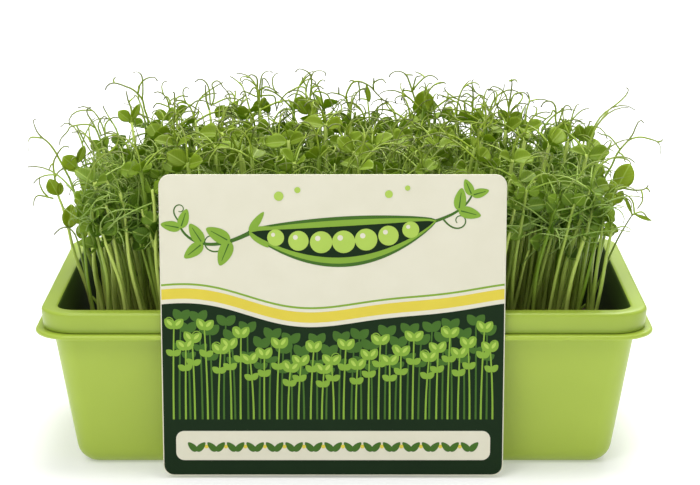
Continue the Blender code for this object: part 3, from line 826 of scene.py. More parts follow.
class Room:
    """The space that the plants already take, as balls. A new piece keeps clear of all of
    them, except that it may touch its own shoot where it grows out of it."""

    def __init__(self):
        self.centres = np.empty((0, 3))
        self.radii = np.empty(0)
        self.owners = np.empty(0, int)

    def is_clear(self, points, radius, owner, root):
        points = np.array(points)
        middle = points.mean(axis=0)
        reach = np.abs(points - middle).max() + 5 * MM
        near = np.abs(self.centres - middle).max(axis=1, initial=0) < reach
        centres = self.centres[near]
        gaps = np.linalg.norm(points[:, None] - centres[None], axis=2)
        own = self.owners[near] == owner
        rooted = np.linalg.norm(points - root, axis=1) < ROOT_ROOM
        at_root = np.linalg.norm(centres - root, axis=1) < ROOT_ROOM
        wanted = (self.radii[near] + radius + CLEAR_GAP) * np.where(own & at_root, ROOT_EASE, 1)
        return not ((gaps < wanted[None]) & ~(own[None] & rooted[:, None])).any()

    def take(self, points, radius, owner):
        self.centres = np.vstack((self.centres, np.array(points)))
        self.radii = np.concatenate((self.radii, np.full(len(points), radius)))
        self.owners = np.concatenate((self.owners, np.full(len(points), owner)))


def level(angle):
    return Vector((math.cos(angle), math.sin(angle), 0))


def canopy_rise(x, y):
    """How far above the mix a shoot ends: the canopy is a low mound, lower at its ends."""
    end_drop = 0.17 * (abs(x) / (128 * MM)) ** 4
    side_drop = 0.06 * (abs(y) / (66 * MM)) ** 2
    return SHOOT_RISE * (1 - end_drop - side_drop)


def stem_point(shoot, share):
    """A point of a stem, which leaves the seed upright, leans outwards and sways a little."""
    foot, tip = shoot["foot"], shoot["tip"]
    sway = STEM_SWAY * math.sin(math.pi * share) * math.sin(2.2 * math.pi * share + 0.6)
    point = foot + (tip - foot) * share**1.35 + sway * level(shoot["sway"])
    point.z = foot.z + (tip.z - foot.z) * share
    return point


def stem_line(shoot):
    return [stem_point(shoot, step / STEM_STEPS) for step in range(STEM_STEPS + 1)]


def leaf_point(leaf, share, across):
    """A point of a leaf's middle surface: across goes from -1 to 1 between its side edges."""
    half_width = leaf["width"] / 2 * math.sqrt(max(0.0, 1 - ((share - 0.61) / 0.46) ** 2))
    bend = leaf["bend"] * share * share
    return (
        leaf["root"]
        + leaf["length"] * (share * leaf["axis"] + bend * leaf["front"])
        + half_width * across * leaf["side"]
    )


def leaf_samples(leaf):
    return [
        leaf_point(leaf, share, across)
        for share in (0.2, 0.4, 0.6, 0.8, 1.0)
        for across in (-1, -0.5, 0, 0.5, 1)
    ]


def tendril_line(tendril):
    """Points along a tendril: it rises, bends outwards and hooks over at its tip."""
    point = tendril["root"].copy()
    line = [point.copy()]
    for step in range(TENDRIL_STEPS):
        share = (step + 0.5) / TENDRIL_STEPS
        tilt = tendril["tilt"] + tendril["bend"] * share ** tendril["hook"]
        outwards = level(tendril["heading"] + tendril["twist"] * share)
        point += tendril["length"] / TENDRIL_STEPS * (math.sin(tilt) * outwards + math.cos(tilt) * UP)
        line.append(point.copy())
    return line


def plan_shoot(draw, room, owner, place_at, turn):
    """One stem, drawn again until it stands clear of the others."""
    x, y = place_at
    foot = Vector((x, y, FOOT_Z)) + FOOT_SPREAD * level(turn)
    for _ in range(TRIES):
        spread = SHOOT_SPREAD * draw.uniform(0.7, 1.3) * level(turn + draw.uniform(-0.7, 0.7))
        tip = Vector((x * LEAN_X, y * LEAN_Y, 0)) + spread
        tip.z = MIX_TOP_Z + canopy_rise(tip.x, tip.y) * draw.uniform(0.9, 1.02)
        shoot = {
            "foot": foot,
            "tip": tip,
            "turn": turn,
            "sway": draw.uniform(0, 2 * math.pi),
            "nodes": (draw.uniform(0.58, 0.74), 1 - NODE_SHARE),
            "leaves": [],
            "tendrils": [],
        }
        if room.is_clear(stem_line(shoot), STEM_FOOT_R, owner, foot):
            break
    room.take(stem_line(shoot), STEM_FOOT_R, owner)
    return shoot


def plan_leaf(draw, room, owner, shoot, node, angle, facing):
    """A leaf on the side of the stem that faces angle, turned to show its face to facing.
    It is turned and shrunk until it is clear of all else."""
    root = stem_point(shoot, shoot["nodes"][node] + NODE_SHARE / 2) + STEM_TIP_R / 2 * level(angle)
    opening = math.copysign(1, math.remainder(angle - facing, 2 * math.pi))
    for attempt in range(TRIES):
        lift = draw.uniform(0.0, 0.5 + 0.2 * node)
        heading = level(angle + opening * draw.uniform(0.0, 0.5))
        axis = math.cos(lift) * heading + math.sin(lift) * UP
        side = UP.cross(axis).normalized()
        front = axis.cross(side)
        twist = -math.copysign(draw.uniform(0.3, 1.2), side.dot(level(facing)))
        size = draw.uniform(0.85, 1.15) * (1 - 0.4 * attempt / TRIES)
        leaf = {
            "root": root,
            "axis": axis,
            "side": math.cos(twist) * side + math.sin(twist) * front,
            "front": math.cos(twist) * front - math.sin(twist) * side,
            "length": LEAF_LENGTH * size,
            "width": LEAF_WIDTH * size,
            "bend": draw.uniform(-0.3, 0.2),
        }
        samples = leaf_samples(leaf)
        if room.is_clear(samples, LEAF_ROOM_R, owner, root):
            room.take(samples, LEAF_ROOM_R, owner)
            shoot["leaves"].append(leaf)
            return


def plan_leaves(draw, room, owner, shoot, node):
    """Two leaves, on the two sides of the stem that face outwards most."""
    centre = stem_point(shoot, shoot["nodes"][node])
    outward = math.atan2(centre.y / LIP_HALF[1], centre.x / LIP_HALF[0]) + draw.gauss(0, 0.9)
    backs = [shoot["turn"] + THIRD * i for i in range(3)]
    back = min(backs, key=lambda angle: math.cos(angle - outward))
    if node:
        shoot["back"] = back
    for angle in (back + THIRD, back - THIRD):
        plan_leaf(draw, room, owner, shoot, node, angle, back + math.pi)


def plan_tendril(draw, room, owner, shoot, from_side):
    """A tendril from the tip of the stem, or from its side behind the upper leaves."""
    tip, back = shoot["tip"], shoot["back"]
    outward = math.atan2(tip.y / LIP_HALF[1], tip.x / LIP_HALF[0])
    edge = max(abs(tip.x) / LIP_HALF[0], abs(tip.y) / LIP_HALF[1])
    end = min(1, max(0, (abs(tip.x) - END_TIP_X) / END_BAND))
    stray = 1.2 - 0.7 * end
    extra = 5 * edge + END_TENDRIL * end
    root = stem_point(shoot, 1 - NODE_SHARE / 2) + STEM_TIP_R / 2 * level(back) if from_side else tip
    for attempt in range(TRIES):
        tendril = {
            "root": root,
            "heading": back + draw.uniform(-0.6, 0.6) if from_side else outward + draw.gauss(0, stray),
            "tilt": draw.uniform(0.7, 1.1) if from_side else draw.uniform(0.0, 0.35),
            "bend": draw.uniform(0.8, 1.8) + 0.7 * (not from_side),
            "hook": draw.uniform(1.3, 2.6),
            "twist": draw.uniform(-0.8, 0.8),
            "length": (draw.uniform(17, 26) + extra) * MM * (1 - 0.3 * attempt / TRIES),
        }
        samples = tendril_line(tendril)[2:]
        if room.is_clear(samples, TENDRIL_R, owner, root):
            room.take(samples, TENDRIL_R, owner)
            shoot["tendrils"].append(tendril)
            return


def plan_plants():
    """Where each plant, stem, leaf and tendril goes: a staggered grid, with seeded draws."""
    draw = random.Random(SEED_OF_DRAWS)
    room = Room()
    plants = []
    shoots = []
    for row in range(PLANT_ROWS):
        for column in range(PLANT_COLUMNS):
            stagger = PLANT_STAGGER if row % 2 else -PLANT_STAGGER
            x = (column - (PLANT_COLUMNS - 1) / 2) * PLANT_PITCH_X + stagger
            y = (row - (PLANT_ROWS - 1) / 2) * PLANT_PITCH_Y
            place_at = (
                x + draw.uniform(-PLANT_JITTER, PLANT_JITTER),
                y + draw.uniform(-PLANT_JITTER, PLANT_JITTER),
            )
            spin = draw.uniform(0, 2 * math.pi)
            plant = {"place": place_at, "spin": spin, "shoots": []}
            for turn in (spin, spin + 0.8 * math.pi):
                shoot = plan_shoot(draw, room, len(shoots), place_at, turn)
                shoots.append(shoot)
                plant["shoots"].append(shoot)
            plants.append(plant)
    for node in (1, 0):
        for owner, shoot in enumerate(shoots):
            plan_leaves(draw, room, owner, shoot, node)
    for from_side in (False, True):
        for owner, shoot in enumerate(shoots):
            plan_tendril(draw, room, owner, shoot, from_side)
    return plants


plants = plan_plants()

# Seeds, stems, leaves and tendrils: each is modelled once as a blank, and its copies are bent
# along the plants. A stem is a six-sided rod, a tendril a four-sided one, a leaf a thin pad.
STEM_RINGS = 14
TENDRIL_RINGS = 9
FORK_RINGS = 6
LEAF_THICK = 0.35 * MM


def rod_blank(sides, rings):
    """A rod of radius 1 from z 0 to 1, cut into rings."""
    bpy.ops.object.select_all(action="DESELECT")
    bpy.ops.mesh.primitive_cylinder_add(vertices=sides, radius=1, depth=1, location=(0, 0, 0.5))
    bpy.ops.object.transform_apply(location=True, rotation=True, scale=True)
    bpy.ops.object.mode_set(mode="EDIT")
    choose("EDGE", lambda edge: abs(edge.verts[0].co.z - edge.verts[1].co.z) > 0.5)
    bpy.ops.mesh.subdivide(number_cuts=rings - 1)
    bpy.ops.object.mode_set(mode="OBJECT")
    return blank_of(bpy.context.object)


def leaf_blank(across_cuts, along_cuts):
    """A square pad from -1 to 1 each way, cut into a grid on both of its faces."""
    bpy.ops.object.select_all(action="DESELECT")
    bpy.ops.mesh.primitive_cube_add(size=2)
    bpy.ops.object.mode_set(mode="EDIT")
    for axis, cuts in ((0, across_cuts), (1, along_cuts)):
        choose("EDGE", lambda edge: abs(edge.verts[0].co[axis] - edge.verts[1].co[axis]) > 1)
        bpy.ops.mesh.subdivide(number_cuts=cuts)
    bpy.ops.object.mode_set(mode="OBJECT")
    return blank_of(bpy.context.object)


stem_blank = rod_blank(6, STEM_RINGS)
tendril_blank = rod_blank(4, TENDRIL_RINGS)
fork_blank = rod_blank(4, FORK_RINGS)
fine_leaf_blank = leaf_blank(5, 7)
plain_leaf_blank = leaf_blank(3, 5)
bpy.ops.object.select_all(action="DESELECT")
bpy.ops.mesh.primitive_ico_sphere_add(subdivisions=2, radius=1)
seed_blank = blank_of(bpy.context.object)
STEM, LEAF, TENDRIL, SEED = range(4)


def along_line(line, count):
    """count + 1 points spread evenly along a line of points."""
    line = np.array([tuple(point) for point in line])
    lengths = np.concatenate(([0], np.cumsum(np.linalg.norm(np.diff(line, axis=0), axis=1))))
    wanted = np.linspace(0, lengths[-1], count + 1)
    return np.stack([np.interp(wanted, lengths, line[:, i]) for i in range(3)], axis=1)


def rod(blank, number, rings, line, radii, tint):
    """A copy of a rod that follows a line, as thick as radii says at each share of it."""
    corners, faces = blank
    points = along_line(line, rings)
    tangents = np.gradient(points, axis=0)
    tangents /= np.linalg.norm(tangents, axis=1)[:, None]
    side = np.cross(tangents[0], (0.31, 0.95, 0.05))
    sides = []
    for tangent in tangents:
        side = side - side.dot(tangent) * tangent
        side = side / np.linalg.norm(side)
        sides.append(side)
    sides = np.array(sides)
    others = np.cross(tangents, sides)
    ring = np.rint(corners[:, 2] * rings).astype(int)
    thick = np.interp(corners[:, 2], np.linspace(0, 1, len(radii)), radii)
    places = points[ring] + thick[:, None] * (
        corners[:, :1] * sides[ring] + corners[:, 1:2] * others[ring]
    )
    growth = np.stack([corners[:, 2], corners[:, 0], np.full(len(corners), tint)], axis=1)
    return places, faces, growth, number


def leaf_copy(blank, leaf, tint, ripple):
    """A copy of the pad as a leaf: round, narrower at its foot, with a short point, folded a
    little along its midrib, and waved at its edge."""
    corners, faces = blank
    u, v = corners[:, 0], corners[:, 1]
    across = u * np.sqrt(1 - v * v / 2)
    along = v * np.sqrt(1 - u * u / 2)
    foot = np.clip(-along, 0, 1)
    across = across * (1 - 0.42 * foot ** 1.6)
    share = 0.53 + 0.5 * along + 0.05 * np.clip(along, 0, 1) ** 6 * np.clip(1 - 2 * np.abs(across), 0, 1)
    edge = across * across
    rise = (
        leaf["bend"] * share * share * leaf["length"]
        + 0.20 * leaf["width"] * np.abs(across) ** 1.5
        + 0.035 * leaf["width"] * np.sin(ripple + 9 * share) * edge
        - 0.03 * leaf["width"] * np.exp(-((across / 0.18) ** 2))
    )
    thick = corners[:, 2] * LEAF_THICK / 2 * np.where(np.maximum(np.abs(u), np.abs(v)) > 0.99, 0.35, 1.0)
    root, axis, side, front = (np.array(leaf[key]) for key in ("root", "axis", "side", "front"))
    places = (
        root
        + (leaf["length"] * share)[:, None] * axis
        + (leaf["width"] / 2 * across)[:, None] * side
        + (rise + thick)[:, None] * front
    )
    growth = np.stack([share, across, np.full(len(corners), tint)], axis=1)
    return places, faces, growth, LEAF


def curling_line(root, heading, axis, length, turn, hook, steps=18):
    """A line that sets off along heading and turns about an axis, tighter towards its end."""
    heading = np.array(heading, float)
    heading /= np.linalg.norm(heading)
    axis = np.array(axis, float)
    axis = axis - 0.85 * axis.dot(heading) * heading
    axis /= np.linalg.norm(axis)
    point = np.array(root, float)
    line = [point.copy()]
    done = 0.0
    for step in range(steps):
        now = turn * ((step + 1) / steps) ** hook
        by = now - done
        done = now
        heading = (
            heading * math.cos(by) + np.cross(axis, heading) * math.sin(by)
            + axis * axis.dot(heading) * (1 - math.cos(by))
        )
        point = point + length / steps * heading
        line.append(point.copy())
    return line


def arching_line(draw, root, heading, length, rise, turn):
    """A line that rises at an angle from level and arches over, down and outwards, as a cane."""
    outward = level(heading)
    start = math.cos(rise) * outward + math.sin(rise) * UP
    axis = UP.cross(outward) + draw.uniform(-0.3, 0.3) * outward
    return curling_line(root, start, axis, length, turn, draw.uniform(1.5, 2.4))


def unit_draw(draw):
    """A direction drawn evenly from all round."""
    made = Vector((draw.gauss(0, 1), draw.gauss(0, 1), draw.gauss(0, 1)))
    return made.normalized()


def forked_tendril(draw, line, radius, forks, tint):
    """A tendril along a line, with thinner side branches that fork off and hook over."""
    radii = (radius, 0.8 * radius, 0.5 * radius)
    fork_radii = (0.75 * radius, 0.65 * radius, 0.5 * radius)
    copies = [rod(tendril_blank, TENDRIL, TENDRIL_RINGS, line, radii, tint)]
    points = along_line(line, 20)
    length = np.linalg.norm(np.diff(points, axis=0), axis=1).sum()
    for _ in range(forks):
        at = int(20 * draw.uniform(0.35, 0.8))
        onward = points[min(at + 1, 20)] - points[at - 1]
        onward = onward / np.linalg.norm(onward)
        aside = np.array(unit_draw(draw))
        aside = aside - aside.dot(onward) * onward
        aside = aside / np.linalg.norm(aside)
        branch = curling_line(
            points[at], onward + draw.uniform(0.3, 0.8) * aside, np.cross(onward, aside),
            length * draw.uniform(0.3, 0.55), draw.uniform(0.8, 3.0), draw.uniform(1.5, 2.8), 12,
        )
        copies.append(rod(fork_blank, TENDRIL, FORK_RINGS, branch, fork_radii, tint))
    return copies


def seed_copy(draw, at, tint):
    """A sprouted seed: a wrinkled pea, turned any way."""
    corners, faces = seed_blank
    knocks = np.array([[draw.uniform(0.9, 1.05)] for _ in corners])
    turned = corners * knocks * (1.0, 0.94, 0.9) @ np.array(
        Matrix.Rotation(draw.uniform(0, 6), 3, unit_draw(draw))
    )
    growth = np.stack([corners[:, 2], corners[:, 0], np.full(len(corners), tint)], axis=1)
    return turned * 0.96 * SEED_R + np.array(at), faces, growth, SEED


# Living tissue: all of it lets some light through, so that leaves with the sun behind them glow.
# Each finish is a waxy surface mixed with that light, and reads the growth attribute.
def edge_share(finish, place, heights, reaches):
    """How near a point is to the edge of the stand, from 0 to 1: to its top or to one of its ends."""
    split = add_node(finish, "SeparateXYZ", {"Vector": place})
    reach = add_node(finish, "Math", {0: split.outputs["X"]}, operation="ABSOLUTE")
    near = []
    for value, (low, high) in ((split.outputs["Z"], heights), (reach.outputs[0], reaches)):
        ramp = add_node(finish, "MapRange", {"Value": value, "From Min": low, "From Max": high})
        near.append(ramp.outputs["Result"])
    return add_node(finish, "Math", {0: near[0], 1: near[1]}, operation="MAXIMUM").outputs[0]


def growing_finish(name):
    """A new finish, with the sockets of its share along, its place across, and its tint."""
    finish = new_finish(name)
    growth = add_node(finish, "Attribute", attribute_name="growth").outputs["Vector"]
    parts = add_node(finish, "SeparateXYZ", {"Vector": growth}).outputs
    place = add_node(finish, "TexCoord").outputs["Object"]
    return finish, parts["X"], parts["Y"], parts["Z"], place


def show_tissue(finish, colour, glow, share, roughness, bump):
    """Ends a living finish: a waxy surface, and a share of light that comes through."""
    wax = add_node(
        finish, "BsdfPrincipled",
        {
            "Base Color": colour, "Roughness": roughness, "Specular IOR Level": 0.25,
            "Normal": bump.outputs["Normal"],
        },
    )
    through = add_node(finish, "BsdfTranslucent", {"Color": glow})
    mixed = add_node(finish, "MixShader", {"Fac": share})
    finish.node_tree.links.new(wax.outputs[0], mixed.inputs[1])
    finish.node_tree.links.new(through.outputs[0], mixed.inputs[2])
    show(finish, mixed)


# A pea leaf is a mid green, with a yellow painted glow of backlight near the top and at the ends,
# a pale midrib and side veins about 1.5 mm apart, and lighter and darker clouds some 4 mm across.
LEAF_TOP = (130.0 * MM, 172.0 * MM)
LEAF_ENDS = (122.0 * MM, 140.0 * MM)
VEINS = 7.0
VEIN_SLANT = -2.6

leaf_skin, share, across, tint, place = growing_finish("pea_leaf")
clouds = add_node(leaf_skin, "TexNoise", {"Vector": place, "Scale": 1 / (4 * MM), "Detail": 3.0})
mottle = add_node(
    leaf_skin, "Math", {0: clouds.outputs["Fac"], 1: 0.5}, operation="MULTIPLY"
)
shade = add_node(leaf_skin, "Math", {0: tint, 1: mottle.outputs[0]}, operation="ADD")
shade_share = add_node(
    leaf_skin, "MapRange", {"Value": shade.outputs[0], "From Min": 0.1, "From Max": 1.3}
)
blade = add_node(
    leaf_skin, "MixRGB",
    {"Fac": shade_share.outputs["Result"], "Color1": linear("#3C620C"), "Color2": linear("#7EA22E")},
)
edge = edge_share(leaf_skin, place, LEAF_TOP, LEAF_ENDS)
# Painted glow of backlight: yellower near the top and out at the ends of the stand.
edge_glow = add_node(leaf_skin, "Math", {0: edge, 1: 0.65}, operation="MULTIPLY")
glowing_blade = add_node(
    leaf_skin, "MixRGB",
    {"Fac": edge_glow.outputs[0], "Color1": blade.outputs["Color"], "Color2": linear("#A4B81E")},
)
off_rib = add_node(leaf_skin, "Math", {0: across}, operation="ABSOLUTE")
rib = add_node(
    leaf_skin, "MapRange",
    {"Value": off_rib.outputs[0], "From Min": 0.025, "From Max": 0.10, "To Min": 1.0, "To Max": 0.0},
)
vein_rise = add_node(
    leaf_skin, "Math", {0: off_rib.outputs[0], 1: VEIN_SLANT}, operation="MULTIPLY"
)
vein_count = add_node(
    leaf_skin, "Math", {0: share, 1: VEINS, 2: vein_rise.outputs[0]}, operation="MULTIPLY_ADD"
)
vein_step = add_node(leaf_skin, "Math", {0: vein_count.outputs[0]}, operation="FRACT")
vein_middle = add_node(leaf_skin, "Math", {0: vein_step.outputs[0], 1: 0.5}, operation="SUBTRACT")
vein_off = add_node(leaf_skin, "Math", {0: vein_middle.outputs[0]}, operation="ABSOLUTE")
vein = add_node(
    leaf_skin, "MapRange",
    {"Value": vein_off.outputs[0], "From Min": 0.02, "From Max": 0.16, "To Min": 0.18, "To Max": 0.0},
)
lines = add_node(
    leaf_skin, "Math", {0: rib.outputs["Result"], 1: vein.outputs["Result"]}, operation="MAXIMUM"
)
line_share = add_node(leaf_skin, "Math", {0: lines.outputs[0], 1: 0.75}, operation="MULTIPLY")
veined = add_node(
    leaf_skin, "MixRGB",
    {"Fac": line_share.outputs[0], "Color1": glowing_blade.outputs["Color"], "Color2": linear("#B6CE5C")},
)
vein_bump = add_node(
    leaf_skin, "Bump",
    {"Height": lines.outputs[0], "Strength": 0.35, "Distance": 0.25 * MM}, invert=True,
)
glow = add_node(
    leaf_skin, "MixRGB",
    {"Fac": 0.5, "Color1": veined.outputs["Color"], "Color2": linear("#B4D824")},
)
show_tissue(leaf_skin, veined.outputs["Color"], glow.outputs["Color"], 0.33, 0.5, vein_bump)

# A stem is yellowish at its foot, its pale colour darkened there as painted shade low in the stand,
# and a fresh green higher up, some lighter than others, with fine ribs along it about 0.7 mm apart.
stem_skin, share, across, tint, place = growing_finish("pea_stem")
ribs_place = add_node(stem_skin, "Mapping", {"Vector": place, "Scale": (1.0, 1.0, 0.08)})
ribs = add_node(
    stem_skin, "TexNoise",
    {"Vector": ribs_place.outputs["Vector"], "Scale": 1 / (0.7 * MM), "Detail": 2.0},
)
greening = add_node(stem_skin, "MapRange", {"Value": share, "From Min": 0.05, "From Max": 0.55})
upper = add_node(
    stem_skin, "MixRGB", {"Fac": tint, "Color1": linear("#6A8C1A"), "Color2": linear("#D8EC78")}
)
# The foot colour: a pale stem base, darkened as painted shade deep in the stand.
stem_colour = add_node(
    stem_skin, "MixRGB",
    {
        "Fac": greening.outputs["Result"], "Color1": linear("#A8B256"),
        "Color2": upper.outputs["Color"],
    },
)
rib_bump = add_node(
    stem_skin, "Bump", {"Height": ribs.outputs["Fac"], "Strength": 0.3, "Distance": 0.2 * MM}
)
show_tissue(stem_skin, stem_colour.outputs["Color"], stem_colour.outputs["Color"], 0.08, 0.42, rib_bump)

# A tendril is a thin wiry thread, pale green inside the stand. At the top and out at the ends it has
# a yellow-green painted glow of backlight at its foot, and is grey towards its tip.
TENDRIL_TOP = (130.0 * MM, 165.0 * MM)
TENDRIL_ENDS = (130.0 * MM, 150.0 * MM)

tendril_skin, share, across, tint, place = growing_finish("pea_tendril")
edge = edge_share(tendril_skin, place, TENDRIL_TOP, TENDRIL_ENDS)
# Painted glow of backlight: yellow-green near the top and out at the ends of the stand.
edge_glow = add_node(tendril_skin, "Math", {0: edge, 1: 0.8}, operation="MULTIPLY")
base_thread = add_node(
    tendril_skin, "MixRGB", {"Fac": tint, "Color1": linear("#789E32"), "Color2": linear("#AECA6C")}
)
thread = add_node(
    tendril_skin, "MixRGB",
    {
        "Fac": edge_glow.outputs[0], "Color1": base_thread.outputs["Color"],
        "Color2": linear("#A6BE2E"),
    },
)
outermost = add_node(tendril_skin, "MapRange", {"Value": edge, "To Min": 0.25})
greying = add_node(
    tendril_skin, "MapRange",
    {"Value": share, "From Min": 0.25, "From Max": 1.0, "To Max": outermost.outputs["Result"]},
)
thread_colour = add_node(
    tendril_skin, "MixRGB",
    {"Fac": greying.outputs["Result"], "Color1": thread.outputs["Color"], "Color2": linear("#787E54")},
)
grain = add_node(tendril_skin, "TexNoise", {"Vector": place, "Scale": 1 / (0.5 * MM)})
grain_bump = add_node(
    tendril_skin, "Bump", {"Height": grain.outputs["Fac"], "Strength": 0.2, "Distance": 0.1 * MM}
)
show_tissue(
    tendril_skin, thread_colour.outputs["Color"], thread_colour.outputs["Color"], 0.14, 0.45, grain_bump
)

# A sprouted pea's coat is buff and olive, dull and wrinkled, with wrinkles about 1.2 mm apart.
seed_skin, share, across, tint, place = growing_finish("pea_seed_coat")
wrinkles = add_node(seed_skin, "TexNoise", {"Vector": place, "Scale": 1 / (1.2 * MM), "Detail": 4.0})
coat = add_node(
    seed_skin, "MixRGB",
    {"Fac": wrinkles.outputs["Fac"], "Color1": linear("#8C8A48"), "Color2": linear("#CDBE83")},
)
wrinkle_bump = add_node(
    seed_skin, "Bump", {"Height": wrinkles.outputs["Fac"], "Strength": 0.7, "Distance": 0.5 * MM}
)
show_tissue(seed_skin, coat.outputs["Color"], coat.outputs["Color"], 0.05, 0.6, wrinkle_bump)

# The space that the stand fills, as an axis, a direction along it, and where it ends that way.
STAND_ENDS = (
    (0, 1, 168.0 * MM), (0, -1, -167.0 * MM), (1, 1, 93.0 * MM), (1, -1, -87.2 * MM),
    (2, 1, 188.5 * MM),
)
EASE_BAND = 10.0 * MM


def ease_in(corners):
    """Bends what would reach out of the stand's space back into it, ever more towards its edge."""
    corners = corners.copy()
    for axis, side, limit in STAND_ENDS:
        over = side * (corners[:, axis] - limit) + EASE_BAND
        eased = EASE_BAND * np.tanh(over / EASE_BAND)
        corners[:, axis] -= side * np.where(over > 0, over - eased, 0)
    return corners


def plant_piece(name, copies, *nodes):
    """One piece of the stand, with the four living finishes."""
    made = piece_of(name, [(ease_in(copy[0]), *copy[1:]) for copy in copies])
    for finish in (stem_skin, leaf_skin, tendril_skin, seed_skin):
        made.data.materials.append(finish)
    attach(made, "root")
    if nodes:
        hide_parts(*nodes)


# The forty planned plants: each is one seed with its root and two shoots.
STEM_RADII = (1.5 * MM, 1.35 * MM, 1.2 * MM, 1.1 * MM, 0.9 * MM)
ROOT_RADII = (1.1 * MM, 1.0 * MM, 0.5 * MM)

draw = random.Random(21)
for number, plant in enumerate(plants, 1):
    x, y = plant["place"]
    tint = draw.random()
    root_line = [Vector((x, y, SEED_Z)), Vector((x, y, ROOT_BEND_Z)), Vector((x, y, ROOT_TIP_Z))]
    copies = [
        seed_copy(draw, (x, y, SEED_Z), tint),
        rod(tendril_blank, SEED, TENDRIL_RINGS, root_line, ROOT_RADII, tint),
    ]
    for shoot in plant["shoots"]:
        tint = draw.random()
        line = [shoot["foot"] - 3 * MM * UP, *stem_line(shoot)]
        copies.append(rod(stem_blank, STEM, STEM_RINGS, line, STEM_RADII, tint))
        for leaf in shoot["leaves"]:
            copies.append(leaf_copy(fine_leaf_blank, leaf, draw.random(), draw.uniform(0, 6)))
        for tendril in shoot["tendrils"]:
            line = tendril_line(tendril)
            forks = 1 if abs(line[0].x) > END_TIP_X else draw.choice((1, 2))
            copies += forked_tendril(draw, line, TENDRIL_R, forks, draw.random())
    plant_piece(f"pea_shoots_{number:02d}", copies, f"pea_plant_{number:02d}")

